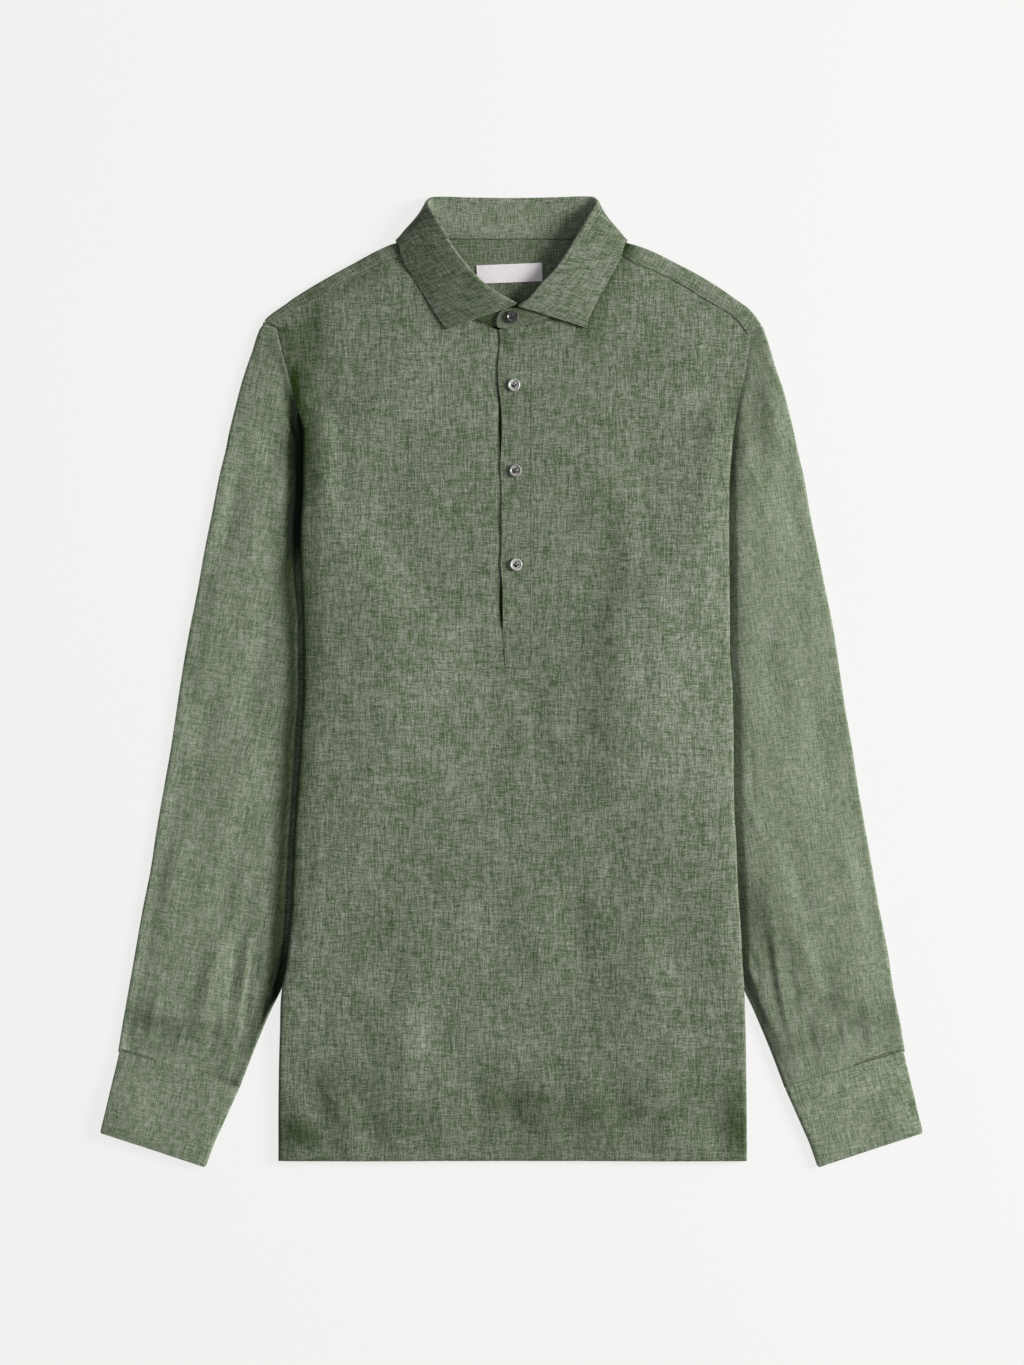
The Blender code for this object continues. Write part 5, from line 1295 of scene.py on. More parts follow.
# ---------------------------------------------------------------- placket and label
Lap = namedtuple("Lap", "y edge slit")
LAP = [
    Lap(284.0, -9.8, 0.4), Lap(277.0, -9.6, 0.35), Lap(270.0, -9.3, 0.3), Lap(259.2, -10.3, 0.4),
    Lap(246.0, -10.9, 0.5), Lap(232.0, -9.9, 0.9), Lap(220.0, -8.4, 1.4), Lap(210.0, -7.9, 2.2), Lap(200.6, -7.7, 2.5),
    Lap(192.0, -7.9, 1.7), Lap(184.0, -8.3, 0.7), Lap(170.4, -9.1, 0.4), Lap(160.0, -8.1, 0.35),
    Lap(134.0, -7.9, 0.4), Lap(109.0, -8.0, 0.35), Lap(93.6, -8.7, 0.5), Lap(84.0, -7.9, 0.9),
    Lap(72.0, -7.2, 2.0), Lap(58.8, -6.9, 2.5), Lap(48.0, -6.9, 1.6), Lap(41.6, -7.0, 0.3),
    Lap(38.0, -7.1, 0.14), Lap(32.0, -6.8, 0.14), Lap(20.0, -6.4, 0.14), Lap(10.4, -6.1, 0.14),
]
lap_edge = track([l.y for l in LAP], [l.edge for l in LAP])
lap_slit = track([l.y for l in LAP], [l.slit for l in LAP])
LAP_TOP, LAP_FOOT, LAP_RIGHT = 283.2, 10.4, 16.9


# Painted shade (above 0) and painted highlight (below 0) on the over band.
LAP_PAINTED_SHADE = [
    Crease(-6, 282, -6, 262, 0, 7, 0.30, 0), Crease(8, 282, 14, 272, 0, 8, 0.12, 0),
    Crease(-7, 222, 0, 206, 0, 4, 0.22, 0), Crease(-4, 190, 4, 176, 0, 5, 0.12, 0),
    Crease(-5, 250, -6, 236, 0, 2.6, 0.12, 0), Crease(-4, 140, -4, 104, 0, 2.0, -0.08, 0),
    Crease(2, 230, 2, 222, 0, 3, 0.20, 0), Crease(3, 162, 3, 154, 0, 3, 0.2, 0), Crease(3.6, 87, 3.6, 80, 0, 3, 0.2, 0),
    Crease(-3, 190, 12, 40, 0, 5, -0.06, 0),
]


def lap_z(x, y, f):
    """Middle of the over band's cloth, at fraction f from its free edge to its seam."""
    base = front_top(x, y)
    free = 0.16 * np.sin(y / 9.0) * (1 - f) ** 3 + 0.15 * drift(x, y, 15, 51)
    near_top = smooth((y - 268.0) / 12.0)
    down = smooth((45.0 - y) / 7.0)
    wide = np.clip(lap_slit(y), 0.0, 2.4)
    rise = mix(0.62 + 0.32 * wide, 0.42, smooth(f * 1.4)) + free * (1 - f * 0.7) * (1 - down)
    groove = 0.30 * np.exp(-((f - 0.0) / 0.06) ** 2) * down
    rise = mix(rise, 0.12, down) - groove
    return base + rise - 0.35 * near_top * 0


def make_lap():
    ys = np.concatenate([spaced(LAP_TOP, LAP_FOOT, 2.3)])
    fs = np.linspace(0, 1, 15)
    grid = np.zeros((len(ys), len(fs), 3))
    taper = np.zeros((len(ys), len(fs)))
    for j, y in enumerate(ys):
        x0 = float(lap_edge(y))
        right = LAP_RIGHT - 2.0 * float(smooth((40.0 - y) / 34.0))
        x = mix(x0, right, fs)
        top = mix(281.6, 285.2, fs)
        yy = np.minimum(y, top) if j else top
        yy = yy + (0 if y > LAP_FOOT + 1 else 0) + (fs - 0.5) * (-2.0 if y <= LAP_FOOT + 0.5 else 0)
        grid[j, :, 0], grid[j, :, 1] = x, yy
        grid[j, :, 2] = lap_z(x, yy, fs)
        taper[j] = mix(1.0, 0.45, smooth((fs - 0.8) / 0.2))
    flat = grid[:, :, :2].copy()
    tone = creased(grid[:, :, 0], grid[:, :, 1], LAP_PAINTED_SHADE)
    return sheet_mesh("shirt_placket_over", grid, 0.85, flat=flat, taper=taper, depth=np.clip(tone, -0.3, 0.6))


def make_lap_under():
    ys = spaced(282.6, 14.6, 4.0)
    fs = np.linspace(0, 1, 11)
    x = np.repeat(mix(-14.6, 14.6, fs)[None], len(ys), 0)
    y = np.repeat(ys[:, None], len(fs), 1)
    z = mix(back_z(x, y), front_z(x, y), 0.5) - 0.15
    # painted shade: the whole under band is darkened, as it shows only in the slit's shadow
    return sheet_mesh("shirt_placket_under", np.stack([x, y, z], axis=2), 0.8, flat=np.stack([x, y], axis=2),
                      depth=np.full(x.shape, 0.78))


def open_slit(obj):
    """Draws the front's free edge back from the over band, and rolls it down a little."""
    co = np.zeros(len(obj.data.vertices) * 3)
    obj.data.vertices.foreach_get("co", co)
    co = co.reshape(-1, 3) / MM
    x, y = co[:, 0], co[:, 1]
    near = (x < PLACKET[0] + 0.9) & (x > -60) & (y > PLACKET_FOOT - 30) & (y < 285)
    want = lap_edge(y) - lap_slit(y) - PLACKET[0]
    fade = smooth((x + 44.0) / (PLACKET[0] + 44.0)) * smooth((y - PLACKET_FOOT + 12.0) / 18.0)
    co[:, 0] = np.where(near, x + want * fade, x)
    lip = smooth((x - PLACKET[0] + 5.0) / 5.0) * smooth((y - PLACKET_FOOT - 6.0) / 20.0)
    co[:, 2] = np.where(near, co[:, 2] - 0.45 * lip, co[:, 2])
    obj.data.vertices.foreach_set("co", (co * MM).ravel())
    obj.data.update()


LABEL = (-1.6, 326.4, 52.4, 14.6, 0.04)


def make_label():
    cx, cy, wide, high, turn = LABEL
    us, vs = np.linspace(-0.5, 0.5, 40), np.linspace(-0.5, 0.5, 14)
    u, v = np.meshgrid(us, vs)
    x = cx + u * wide * cos(turn) - v * high * sin(turn)
    y = cy + u * wide * sin(turn) + v * high * cos(turn)
    tack = np.exp(-((np.abs(u) - 0.47) / 0.05) ** 2 - ((np.abs(v) - 0.42) / 0.16) ** 2)
    z = back_z(x, y) + 1.15 + 0.35 * (1 - (2 * u) ** 6) * (0.6 + 0.4 * np.cos(v * 3)) - 0.25 * tack
    z = z + 0.16 * drift(x, y, 9, 61)
    flat = np.stack([u * wide, v * high], axis=2)
    return sheet_mesh("shirt_label", np.stack([x, y, z], axis=2), 0.5, flat=flat)


# ---------------------------------------------------------------- buttons and sewing
BUTTON_D, BUTTON_T, HOLE_R, HOLE_AT = 10.2, 2.3, 0.68, 1.78
FRONT_BUTTONS = [(0.8, 291.0, 0.35), (2.0, 236.8, 0.0), (3.1, 168.4, -0.55), (3.6, 93.2, 0.0)]
scratch = []


def bare(name, mesh):
    obj = bpy.data.objects.new(name, mesh)
    bpy.context.scene.collection.objects.link(obj)
    return obj


def make_button(name, x, y, z, turn, up=1.0):
    """A turned disc with a rounded rim, a sunk middle and four holes."""
    r, t = BUTTON_D / 2, BUTTON_T
    profile = [(0.0, 0.0), (r * 0.55, 0.0), (r * 0.80, 0.12), (r * 0.93, 0.42), (r * 0.99, 0.9),
               (r, 1.25), (r * 0.985, 1.7), (r * 0.94, 2.08), (r * 0.87, 2.26), (r * 0.80, 2.3),
               (r * 0.74, 2.18), (r * 0.68, 1.9), (r * 0.60, 1.72), (r * 0.42, 1.64), (0.0, 1.62)]
    seg = 56
    bm = bmesh.new()
    rings = []
    for pr, pz in profile:
        if pr == 0.0:
            rings.append([bm.verts.new((0, 0, pz * MM))])
        else:
            rings.append([bm.verts.new((pr * cos(2 * pi * k / seg) * MM, pr * sin(2 * pi * k / seg) * MM, pz * MM))
                          for k in range(seg)])
    for a, b in zip(rings, rings[1:]):
        for k in range(seg):
            m = (k + 1) % seg
            if len(a) == 1:
                bm.faces.new((a[0], b[m], b[k]))
            elif len(b) == 1:
                bm.faces.new((a[k], a[m], b[0]))
            else:
                bm.faces.new((a[k], a[m], b[m], b[k]))
    bmesh.ops.recalc_face_normals(bm, faces=bm.faces)
    mesh = bpy.data.meshes.new(name)
    bm.to_mesh(mesh)
    bm.free()
    obj = bare(name, mesh)
    drills = bmesh.new()
    for k in range(4):
        a = pi / 2 * k
        bmesh.ops.create_cone(drills, cap_ends=True, segments=18, radius1=HOLE_R * MM, radius2=HOLE_R * MM,
                              depth=9 * MM,
                              matrix=Matrix.Translation((HOLE_AT * cos(a) * MM, HOLE_AT * sin(a) * MM, 1 * MM))
                              @ Matrix.Rotation(0.13, 4, "Z"))
    dm = bpy.data.meshes.new("drill_" + name)
    drills.to_mesh(dm)
    drills.free()
    drill = bare("drill_" + name, dm)
    cut = obj.modifiers.new("holes", "BOOLEAN")
    cut.operation, cut.object, cut.solver = "DIFFERENCE", drill, "EXACT"
    dg = bpy.context.evaluated_depsgraph_get()
    final = bpy.data.meshes.new_from_object(obj.evaluated_get(dg))
    obj.modifiers.clear()
    obj.data = final
    bpy.data.objects.remove(drill)
    m = Matrix.Rotation(turn, 4, "Z")
    if up < 0:
        m = Matrix.Translation((0, 0, t * MM)) @ Matrix.Rotation(pi, 4, "X") @ m
    final.transform(Matrix.Translation((x * MM, y * MM, z * MM)) @ m)
    final.polygons.foreach_set("use_smooth", [True] * len(final.polygons))
    final.set_sharp_from_angle(angle=radians(38))
    return obj


def tubes(name, paths, radius, sides=6):
    """Many short round threads as one mesh. Each path is a list of points."""
    verts, faces = [], []
    for path in paths:
        p = np.asarray(path, float)
        n = len(p)
        tan = np.gradient(p, axis=0)
        tan /= np.maximum(np.linalg.norm(tan, axis=1, keepdims=True), 1e-9)
        up = np.array([0.0, 0.0, 1.0])
        base = len(verts)
        for k in range(n):
            side = np.cross(tan[k], up)
            if np.linalg.norm(side) < 1e-3:
                side = np.cross(tan[k], np.array([1.0, 0, 0]))
            side /= np.linalg.norm(side)
            lift = np.cross(side, tan[k])
            r = radius * (0.55 if k in (0, n - 1) else 1.0)
            for s in range(sides):
                a = 2 * pi * s / sides
                verts.append(p[k] + (side * cos(a) + lift * sin(a)) * r)
        for k in range(n - 1):
            for s in range(sides):
                q = (s + 1) % sides
                faces.append((base + k * sides + s, base + k * sides + q, base + (k + 1) * sides + q, base + (k + 1) * sides + s))
        faces.append(tuple(base + s for s in range(sides))[::-1])
        faces.append(tuple(base + (n - 1) * sides + s for s in range(sides)))
    mesh = bpy.data.meshes.new(name)
    mesh.from_pydata((np.array(verts) * MM).tolist(), [], faces)
    mesh.validate()
    mesh.shade_smooth()
    bm = bmesh.new()
    bm.from_mesh(mesh)
    bmesh.ops.recalc_face_normals(bm, faces=bm.faces)
    bm.to_mesh(mesh)
    bm.free()
    obj = bare(name, mesh)
    co = np.array(verts) * MM
    weave_frame(obj, co, co[:, 0], co[:, 1])
    return obj


def stitch_paths(points, height, pitch=2.4, share=0.66, lift=0.12, side=0.0, wander=0.0):
    """Running stitches along a line that lies on a surface."""
    fine = polyline(points, max(int(length_of(points) / 0.6), 8), 0.5)
    run = np.concatenate([[0], np.cumsum(np.linalg.norm(np.diff(fine, axis=0), axis=1))])
    paths = []
    s = pitch * 0.3
    while s + pitch * share < run[-1]:
        want = np.linspace(s, s + pitch * share, 4)
        x, y = np.interp(want, run, fine[:, 0]), np.interp(want, run, fine[:, 1])
        z = height(x, y)
        arch = np.array([-0.08, lift, lift, -0.08])
        paths.append(np.stack([x, y, z + arch], axis=1))
        s += pitch
    return paths


# ---------------------------------------------------------------- materials
class Nodes:
    """A small helper to build a material's nodes."""

    def __init__(self, name):
        self.mat = bpy.data.materials.new(name)
        self.mat.use_nodes = True
        self.tree = self.mat.node_tree
        self.shader = self.tree.nodes["Principled BSDF"]

    def add(self, kind, **inputs):
        node = self.tree.nodes.new(kind)
        for key, value in inputs.items():
            if hasattr(node, key) and key not in node.inputs:
                setattr(node, key, value)
        return node

    def link(self, a, b):
        self.tree.links.new(a, b)

    def math(self, op, a, b=None, clamp=False):
        node = self.tree.nodes.new("ShaderNodeMath")
        node.operation = op
        node.use_clamp = clamp
        for k, v in enumerate((a, b)):
            if v is None:
                continue
            if isinstance(v, (int, float)):
                node.inputs[k].default_value = v
            else:
                self.link(v, node.inputs[k])
        return node.outputs[0]

    def scaled(self, source, scale, turn=0.0):
        node = self.tree.nodes.new("ShaderNodeMapping")
        node.inputs["Scale"].default_value = scale
        node.inputs["Rotation"].default_value = (0, 0, turn)
        self.link(source, node.inputs["Vector"])
        return node.outputs[0]

    def noise(self, vector, detail=2.0, rough=0.5, distort=0.0, scale=1.0):
        node = self.tree.nodes.new("ShaderNodeTexNoise")
        node.inputs["Scale"].default_value = scale
        node.inputs["Detail"].default_value = detail
        node.inputs["Roughness"].default_value = rough
        node.inputs["Distortion"].default_value = distort
        self.link(vector, node.inputs["Vector"])
        return node.outputs["Fac"]

    def ramp(self, value, stops):
        node = self.tree.nodes.new("ShaderNodeValToRGB")
        el = node.color_ramp.elements
        while len(el) < len(stops):
            el.new(0.5)
        for e, (pos, col) in zip(el, stops):
            e.position = pos
            e.color = (*col, 1.0)
        self.link(value, node.inputs["Fac"])
        return node.outputs["Color"]

    def spread(self, value, low, high):
        node = self.tree.nodes.new("ShaderNodeMapRange")
        node.inputs["From Min"].default_value = low
        node.inputs["From Max"].default_value = high
        self.link(value, node.inputs["Value"])
        return node.outputs["Result"]


DARK, DEEP, PLAIN, PALE = (0.026, 0.056, 0.017), (0.088, 0.124, 0.064), (0.196, 0.222, 0.166), (0.372, 0.392, 0.348)


def linen(name, seed, tone=1.0, bump=0.10, layer="cloth", contrast=1.0, painted_shade_rgb=(1.06, 0.95, 1.17)):
    """Linen with a dark green warp and a pale weft, slubbed both ways."""
    n = Nodes(name)
    at = n.add("ShaderNodeAttribute")
    at.attribute_name = layer
    base = n.tree.nodes.new("ShaderNodeVectorMath")
    base.operation = "ADD"
    base.inputs[1].default_value = (seed * 0.731, seed * 0.413, seed * 0.37)
    n.link(at.outputs["Vector"], base.inputs[0])
    p = base.outputs[0]
    # threads: fine, then the heavier ones, then slubs
    warp = n.noise(n.scaled(p, (1150, 120, 1)), 1.0, 0.5)
    weft = n.noise(n.scaled(p, (140, 1200, 1)), 1.0, 0.5)
    warp_b = n.noise(n.scaled(p, (640, 40, 1)), 2.0, 0.6)
    weft_b = n.noise(n.scaled(p, (62, 680, 1)), 2.0, 0.6)
    speck = n.noise(n.scaled(p, (1300, 1240, 1)), 0.0, 0.5)
    blotch = n.noise(n.scaled(p, (170, 150, 1)), 2.0, 0.6)
    cloud = n.noise(n.scaled(p, (34, 30, 1)), 2.0, 0.55)
    v = None
    for source, low, high, share in ((warp, 0.36, 0.64, 0.155), (weft, 0.36, 0.64, 0.14), (warp_b, 0.34, 0.66, 0.085),
                                     (weft_b, 0.34, 0.66, 0.06), (speck, 0.36, 0.64, 0.15),
                                     (blotch, 0.30, 0.70, 0.02), (cloud, 0.30, 0.70, 0.05)):
        w = n.math("MULTIPLY", n.math("SUBTRACT", n.spread(source, low, high), 0.5), share * contrast)
        v = w if v is None else n.math("ADD", v, w)
    v = n.math("ADD", v, 0.5)
    t = lambda c: tuple(k * tone for k in c)
    colour = n.ramp(v, [(0.20, t(DARK)), (0.40, t(DEEP)), (0.56, t(PLAIN)), (0.80, t(PALE))])
    sunk = n.add("ShaderNodeAttribute")
    sunk.attribute_name = "depth"
    keep = n.tree.nodes.new("ShaderNodeCombineXYZ")
    for axis, share in zip("XYZ", painted_shade_rgb):
        left = n.math("SUBTRACT", 1.0, n.math("MULTIPLY", sunk.outputs["Fac"], share))
        n.link(n.math("MAXIMUM", left, 0.03), keep.inputs[axis])
    # painted shade: where the depth attribute is above 0 the colour turns darker and greener; painted highlight: below
    # 0 it turns paler
    darker = n.tree.nodes.new("ShaderNodeVectorMath")
    darker.operation = "MULTIPLY"
    n.link(colour, darker.inputs[0])
    n.link(keep.outputs[0], darker.inputs[1])
    n.link(darker.outputs[0], n.shader.inputs["Base Color"])
    n.shader.inputs["Roughness"].default_value = 0.9
    n.shader.inputs["Specular IOR Level"].default_value = 0.16
    n.shader.inputs["Sheen Weight"].default_value = 0.03
    n.shader.inputs["Sheen Roughness"].default_value = 0.45
    h = n.math("ADD", n.math("ADD", n.math("MULTIPLY", warp, 0.5), n.math("MULTIPLY", weft, 0.5)), n.math("MULTIPLY", speck, 0.5))
    b = n.tree.nodes.new("ShaderNodeBump")
    b.inputs["Strength"].default_value = 0.5
    b.inputs["Distance"].default_value = bump * MM * 2.0
    n.link(h, b.inputs["Height"])
    n.link(b.outputs["Normal"], n.shader.inputs["Normal"])
    n.mat.diffuse_color = (*t(PLAIN), 1)
    return n.mat


def thread_material(name, colour):
    n = Nodes(name)
    at = n.add("ShaderNodeAttribute")
    at.attribute_name = "cloth"
    f = n.noise(n.scaled(at.outputs["Vector"], (900, 900, 900)), 2.0, 0.6)
    c = n.ramp(f, [(0.3, tuple(k * 0.6 for k in colour)), (0.7, tuple(k * 1.35 for k in colour))])
    n.link(c, n.shader.inputs["Base Color"])
    n.shader.inputs["Roughness"].default_value = 0.6
    return n.mat


def pearl_material(name, seed, dark):
    """Grey mother-of-pearl: clouded bands of grey with a soft gloss."""
    n = Nodes(name)
    tc = n.tree.nodes.new("ShaderNodeTexCoord")
    add = n.tree.nodes.new("ShaderNodeVectorMath")
    add.operation = "ADD"
    add.inputs[1].default_value = (seed * 0.31, seed * 0.77, seed * 0.53)
    n.link(tc.outputs["Object"], add.inputs[0])
    f = n.noise(n.scaled(add.outputs[0], (260, 420, 300), 0.6), 3.0, 0.55, 1.2)
    g = n.noise(n.scaled(add.outputs[0], (900, 700, 800)), 2.0, 0.5)
    v = n.math("ADD", n.math("MULTIPLY", f, 0.75), n.math("MULTIPLY", g, 0.25))
    k = dark
    c = n.ramp(v, [(0.30, (0.13 * k, 0.135 * k, 0.128 * k)), (0.45, (0.40 * k, 0.40 * k, 0.375 * k)),
                   (0.58, (0.62 * k, 0.615 * k, 0.58 * k)), (0.72, (0.46 * k, 0.47 * k, 0.45 * k))])
    n.link(c, n.shader.inputs["Base Color"])
    r = n.spread(g, 0.3, 0.7)
    n.link(n.math("ADD", n.math("MULTIPLY", r, 0.10), 0.20), n.shader.inputs["Roughness"])
    n.shader.inputs["Coat Weight"].default_value = 0.35
    n.shader.inputs["Coat Roughness"].default_value = 0.12
    b = n.tree.nodes.new("ShaderNodeBump")
    b.inputs["Strength"].default_value = 0.25
    b.inputs["Distance"].default_value = 0.0001
    n.link(g, b.inputs["Height"])
    n.link(b.outputs["Normal"], n.shader.inputs["Normal"])
    return n.mat


def tape_material(name):
    """Plain woven label: fine pale ribs."""
    n = Nodes(name)
    at = n.add("ShaderNodeAttribute")
    at.attribute_name = "cloth"
    rib = n.noise(n.scaled(at.outputs["Vector"], (300, 2600, 1)), 2.0, 0.6)
    cross = n.noise(n.scaled(at.outputs["Vector"], (2400, 260, 1)), 2.0, 0.6)
    v = n.math("ADD", n.math("MULTIPLY", rib, 0.6), n.math("MULTIPLY", cross, 0.4))
    c = n.ramp(v, [(0.34, (0.74, 0.68, 0.70)), (0.52, (0.87, 0.80, 0.83)), (0.68, (0.96, 0.90, 0.93))])
    n.link(c, n.shader.inputs["Base Color"])
    n.shader.inputs["Roughness"].default_value = 0.6
    n.shader.inputs["Sheen Weight"].default_value = 0.1
    b = n.tree.nodes.new("ShaderNodeBump")
    b.inputs["Strength"].default_value = 0.4
    b.inputs["Distance"].default_value = 0.0001
    n.link(v, b.inputs["Height"])
    n.link(b.outputs["Normal"], n.shader.inputs["Normal"])
    return n.mat


def finish_cloth(obj, node, material):
    obj.data.materials.clear()
    obj.data.materials.append(material)
    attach(obj, "root")
    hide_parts(node)


def finish_small(obj, material, nodes=()):
    obj.data.materials.clear()
    obj.data.materials.append(material)
    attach(obj, "root")
    if nodes:
        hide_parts(*nodes)


# Each piece has its own copy of the linen. The copies differ in seed, contrast and brightness (tone). The brightness is
# set piece by piece as painted light and shade: the sleeves and cuffs lightest, the under band darkest.
linen_front = linen("linen_front", 1, 1.07)
linen_back = linen("linen_back", 2, 0.96)
linen_yoke = linen("linen_yoke", 3, 1.07)
linen_sleeve_r = linen("linen_sleeve_right", 4, 1.50, contrast=0.78, painted_shade_rgb=(0.983, 0.957, 1.006))
linen_sleeve_l = linen("linen_sleeve_left", 5, 1.30, contrast=0.74, painted_shade_rgb=(0.983, 0.957, 1.006))
linen_cuff_r = linen("linen_cuff_right", 6, 1.44, contrast=0.8)
linen_cuff_l = linen("linen_cuff_left", 7, 1.40, contrast=0.8)
linen_stand = linen("linen_stand", 8, 1.10)
linen_leaf = linen("linen_leaf", 9)
linen_lap = linen("linen_lap", 10)
linen_under = linen("linen_lap_under", 11, 0.9)
thread = thread_material("thread_green", (0.075, 0.100, 0.065))
thread_black = thread_material("thread_black", (0.008, 0.010, 0.007))
thread_deep = thread_material("thread_deep", (0.030, 0.042, 0.024))
thread_dark = thread_material("thread_dark", (0.020, 0.030, 0.018))
thread_pale = thread_material("thread_pale", (0.30, 0.27, 0.30))

back = make_back()
finish_cloth(back, "back", linen_back)
front = make_front()
open_slit(front)
finish_cloth(front, "front", linen_front)
yoke = make_yoke()
finish_cloth(yoke, "yoke", linen_yoke)
sleeve_r = make_sleeve("shirt_sleeve_right", SLEEVE_M, -1, SLEEVE_M_CREASES)
finish_cloth(sleeve_r, "sleeve_right", linen_sleeve_r)
sleeve_l = make_sleeve("shirt_sleeve_left", SLEEVE_P, 1, SLEEVE_P_CREASES)
finish_cloth(sleeve_l, "sleeve_left", linen_sleeve_l)
cuff_r = make_cuff("shirt_cuff_right", CUFF_M, -1)
finish_cloth(cuff_r, "cuff_right", linen_cuff_r)
cuff_l = make_cuff("shirt_cuff_left", CUFF_P, 1)
finish_cloth(cuff_l, "cuff_left", linen_cuff_l)
stand = make_stand()
finish_cloth(stand, "collar_stand", linen_stand)
leaf = make_leaf()
finish_cloth(leaf, "collar_leaf", linen_leaf)
lap_under = make_lap_under()
finish_cloth(lap_under, "placket_under", linen_under)
lap = make_lap()
finish_cloth(lap, "placket_over", linen_lap)
label = make_label()
finish_cloth(label, "label", tape_material("label_tape"))

for edge in seam_edges() + neck_edges():
    finish_small(edge, linen_under)

# buttons
lap_at = lambda x, y: float(lap_z(np.array(x), np.array(y), np.array((x + 9.0) / 26.0)))
button_z = [9.0] + [lap_at(x, y) + 0.75 for x, y, _ in FRONT_BUTTONS[1:]]
# pearl brightness per button: button 1's is set very dark as painted shade under the collar; button 3's is somewhat
# darker
for k, ((bx, by, turn), bz) in enumerate(zip(FRONT_BUTTONS, button_z)):
    b = make_button("shirt_button_%d" % (k + 1), bx, by, bz, turn)
    finish_small(b, pearl_material("pearl_%d" % (k + 1), 3.0 + k, (0.13, 1.0, 0.62, 0.95)[k]), ["button_%d" % (k + 1)])
for side, word in ((-1, "right"), (1, "left")):
    b = make_button("shirt_cuff_button_" + word, side * CUFF_BUTTON[0], CUFF_BUTTON[1], 0.0, 0.4, up=-1.0)
    finish_small(b, pearl_material("pearl_" + word, 9.0 + side, 0.9), ["cuff_button_" + word])

# the thread of each button: from the lowest hole to the other three
paths = []
for (bx, by, turn), bz in zip(FRONT_BUTTONS, button_z):
    hole = lambda k: np.array([bx + HOLE_AT * cos(turn + pi / 2 * k), by + HOLE_AT * sin(turn + pi / 2 * k)])
    low = hole(3)
    for k in (0, 1, 2):
        far = hole(k)
        for off in ((-0.30, 0.0, 0.30) if k != 1 else (-0.05, 0.12)):
            side = np.array([-(far - low)[1], (far - low)[0]])
            side = side / np.linalg.norm(side) * off
            pts = []
            for t, rise in ((0.0, 0.9), (0.06, 1.9), (0.3, 2.12), (0.7, 2.12), (0.94, 1.9), (1.0, 0.9)):
                q = low + (far - low) * t + side
                pts.append((q[0], q[1], bz + rise))
            paths.append(pts)
for (bx, by, turn), bz in zip(FRONT_BUTTONS, button_z):
    for k in (1, 3):
        hx, hy = bx + HOLE_AT * cos(turn + pi / 2 * k), by + HOLE_AT * sin(turn + pi / 2 * k)
        for off in (-0.28, 0.0, 0.28):
            paths.append([(hx + off, hy - 0.62, bz + 1.2), (hx + off, hy - 0.4, bz + 2.0), (hx + off, hy, bz + 2.25),
                          (hx + off, hy + 0.4, bz + 2.0), (hx + off, hy + 0.62, bz + 1.2)])
sewn = tubes("button_thread", paths, 0.22)
finish_small(sewn, thread_black)

# the tail of each buttonhole below its button
paths = []
for (bx, by, turn), bz in list(zip(FRONT_BUTTONS, button_z))[1:]:
    for k in range(11):
        y = by - BUTTON_D / 2 + 0.4 - k * 0.36
        half = 0.75 if k < 10 else 0.85
        x0, x1 = bx - 0.1 - half, bx - 0.1 + half
        for a, b in ((x0, bx - 0.34), (bx + 0.14, x1)) if k < 9 else ((x0, x1),):
            za = lap_at(a, y) + 0.46
            paths.append([(a, y, za), ((a + b) / 2, y, za + 0.12), (b, y, za)])
holes = tubes("buttonhole_stitch", paths, 0.16)
finish_small(holes, thread)

# the sewn box at the foot of the placket, and the line down its seam
lap_top = lambda x, y: lap_z(x, y, np.clip((x + 7.0) / 23.0, 0, 1)) + 0.43
paths = stitch_paths([(-6.0, 38.6), (2.0, 38.2), (15.6, 39.6)], lap_top, 1.5, 0.8, 0.10)
paths += stitch_paths([(-5.9, 38.0), (-5.6, 24.0), (-5.3, 11.8)], lap_top, 1.5, 0.8, 0.10)
paths += stitch_paths([(-5.3, 11.4), (4.0, 9.9), (14.4, 9.3)], lap_top, 1.5, 0.86, 0.12)
box = tubes("placket_box_stitch", paths, 0.17)
finish_small(box, thread_deep)
paths = stitch_paths([(16.0, 268.0), (15.6, 150.0), (15.7, 40.0), (15.0, 11.0)], lap_top, 1.7, 0.72, 0.06)
line = tubes("placket_line_stitch", paths, 0.13)
finish_small(line, thread)

# ---------------------------------------------------------------- sewn lines
from mathutils.bvhtree import BVHTree


def height_on(*objects):
    """The top of these pieces over a place, in millimetres."""
    dg = bpy.context.evaluated_depsgraph_get()
    trees = [BVHTree.FromObject(o, dg) for o in objects]

    def height(x, y):
        out = []
        for a, b in zip(np.atleast_1d(x), np.atleast_1d(y)):
            hits = [t.ray_cast(Vector((a * MM, b * MM, 0.2)), Vector((0, 0, -1)))[0] for t in trees]
            hits = [h.z / MM for h in hits if h is not None]
            out.append(max(hits) if hits else (out[-1] if out else 4.0))
        return np.array(out)

    return height


body_top = height_on(front, yoke)
# close dark stitches along the right yoke seam: real stitching that also serves as painted shade for the seam's shadow
# line
paths = stitch_paths([(-89.6, 339.8), (-106.0, 333.0), (-126.8, 323.4), (-146.8, 312.4), (-166.0, 302.4), (-181.0, 293.4)],
                     body_top, 1.5, 0.86, 0.10)
seam_shadow_line = tubes("yoke_seam_shadow_stitch_right", paths, 0.20)
finish_small(seam_shadow_line, thread_deep)
paths = stitch_paths([(-91.0, 343.6), (-108.0, 336.4), (-128.8, 326.8), (-149.0, 315.6), (-168.0, 305.8), (-183.0, 296.8)],
                     body_top, 1.9, 0.7, 0.06)
paths += stitch_paths([(88.4, 344.6), (117.2, 331.2), (138.2, 320.8), (159.2, 308.0), (180.6, 295.2)],
                      body_top, 1.9, 0.7, 0.06)
line = tubes("yoke_edge_stitch", paths, 0.14)
finish_small(line, thread)

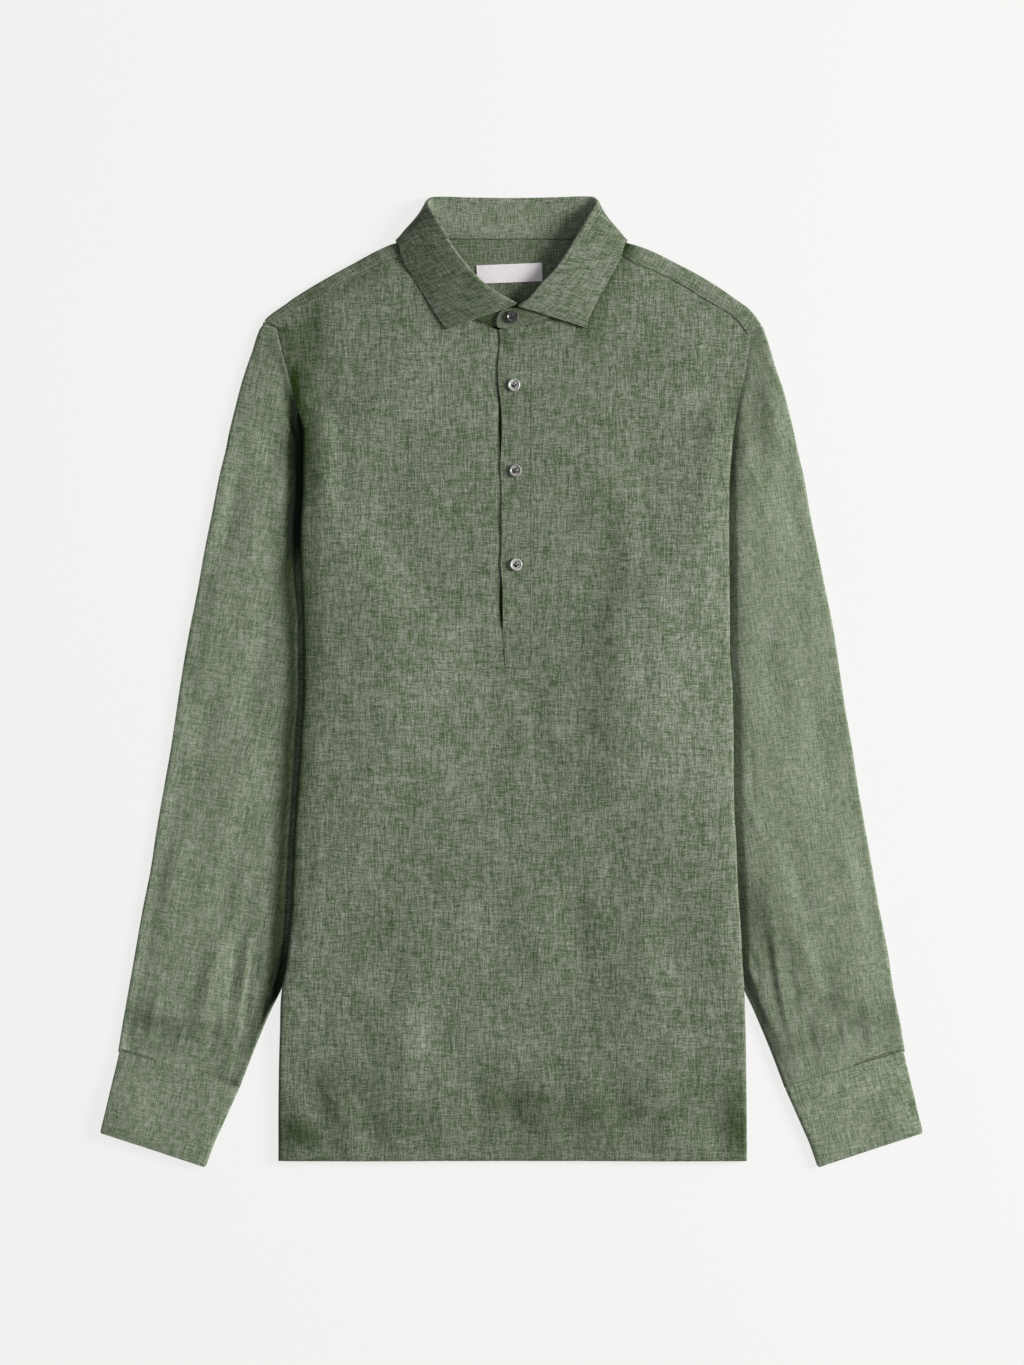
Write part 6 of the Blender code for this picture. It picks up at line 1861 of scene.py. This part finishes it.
# the collar's sewn edges
leaf_top = height_on(leaf)
LEAF_ROWS = np.array(LEAF_ROWS)
rim = LEAF_ROWS[:, -5, :2]
side_m = [tuple(p) for p in rim[3:] if p[0] < -66 or (p[0] < -50 and p[1] < 330)]
side_p = [tuple(p) for p in rim[:-3] if p[0] > 66 or (p[0] > 50 and p[1] < 330)]
paths = []
for row in (3, len(LEAF_ROWS) - 4):
    ends = LEAF_ROWS[row, 14:-5, :2]
    paths += stitch_paths([tuple(p) for p in ends[::3]], leaf_top, 1.9, 0.7, 0.07)
for group in (side_m, side_p):
    if len(group) > 4:
        paths += stitch_paths(group[::2], leaf_top, 1.9, 0.7, 0.07)
line = tubes("collar_edge_stitch", paths, 0.13)
finish_small(line, thread)
stand_top = height_on(stand)
paths = stitch_paths([(-7.6, 285.6), (-2.0, 284.8), (6.0, 285.8), (13.0, 287.2), (22.0, 291.0)], stand_top, 1.7, 0.74, 0.08)
line = tubes("stand_edge_stitch", paths, 0.14)
finish_small(line, thread)

# where each cuff's button is sewn through
paths = []
for obj, side in ((cuff_r, -1), (cuff_l, 1)):
    top = height_on(obj)
    for x, y in ((-315.8, -343.4), (-314.8, -348.8)):
        xs = np.array([-0.5, -0.2, 0.2, 0.5]) + (x if side < 0 else 2.0 - x)
        ys = np.array([0.7, 0.3, -0.3, -0.7]) + y
        z = top(xs, ys) + np.array([-0.1, 0.14, 0.14, -0.1])
        paths.append(np.stack([xs, ys, z], axis=1))
marks = tubes("cuff_button_stitch", paths, 0.26)
finish_small(marks, thread_deep)


# ---------------------------------------------------------------- stage
def floor_material():
    n = Nodes("floor_pale")
    tc = n.tree.nodes.new("ShaderNodeTexCoord")
    f = n.noise(n.scaled(tc.outputs["Object"], (3, 3, 3)), 2.0, 0.5)
    c = n.ramp(f, [(0.3, (0.120, 0.120, 0.118)), (0.7, (0.124, 0.124, 0.122))])
    n.link(c, n.shader.inputs["Base Color"])
    n.shader.inputs["Roughness"].default_value = 1.0
    n.shader.inputs["Specular IOR Level"].default_value = 0.0
    n.shader.inputs["Emission Color"].default_value = (0.795, 0.795, 0.782, 1)
    n.shader.inputs["Emission Strength"].default_value = 1.0
    return n.mat


bpy.ops.mesh.primitive_grid_add(x_subdivisions=4, y_subdivisions=4, size=9.0, location=(0, 0, -0.0004))
floor = bpy.context.object
floor.name = "floor"
floor.data.materials.append(floor_material())


def area_light(name, place, target, size, power, colour=(1, 1, 1)):
    data = bpy.data.lights.new(name, "AREA")
    data.shape = "RECTANGLE"
    data.size, data.size_y = size
    data.energy = power
    data.color = colour
    obj = bpy.data.objects.new(name, data)
    bpy.context.scene.collection.objects.link(obj)
    obj.location = place
    obj.rotation_euler = (Vector(target) - Vector(place)).to_track_quat("-Z", "Y").to_euler()
    return obj


area_light("key", (2.85, 0.45, 1.52), (0.0, 0.0, 0.0), (0.9, 1.2), 146.0, (1.0, 0.995, 0.985))
area_light("fill_top", (0.3, 0.6, 3.6), (0.0, 0.0, 0.0), (2.6, 2.6), 14.0)

world = bpy.data.worlds.new("studio")
world.use_nodes = True
world.node_tree.nodes["Background"].inputs["Color"].default_value = (0.95, 0.97, 1.0, 1)
world.node_tree.nodes["Background"].inputs["Strength"].default_value = 0.18
bpy.context.scene.world = world
bpy.context.scene.view_settings.view_transform = "Standard"
bpy.context.scene.view_settings.look = "None"

camera_data = bpy.data.cameras.new("camera")
camera_data.sensor_fit = "VERTICAL"
camera_data.sensor_height = 36.0
camera_data.lens = 100.0
camera = bpy.data.objects.new("camera", camera_data)
bpy.context.scene.collection.objects.link(camera)
camera.location = (0.0004, -0.0012, 3.040)
camera.rotation_euler = (0, 0, 0)
bpy.context.scene.camera = camera

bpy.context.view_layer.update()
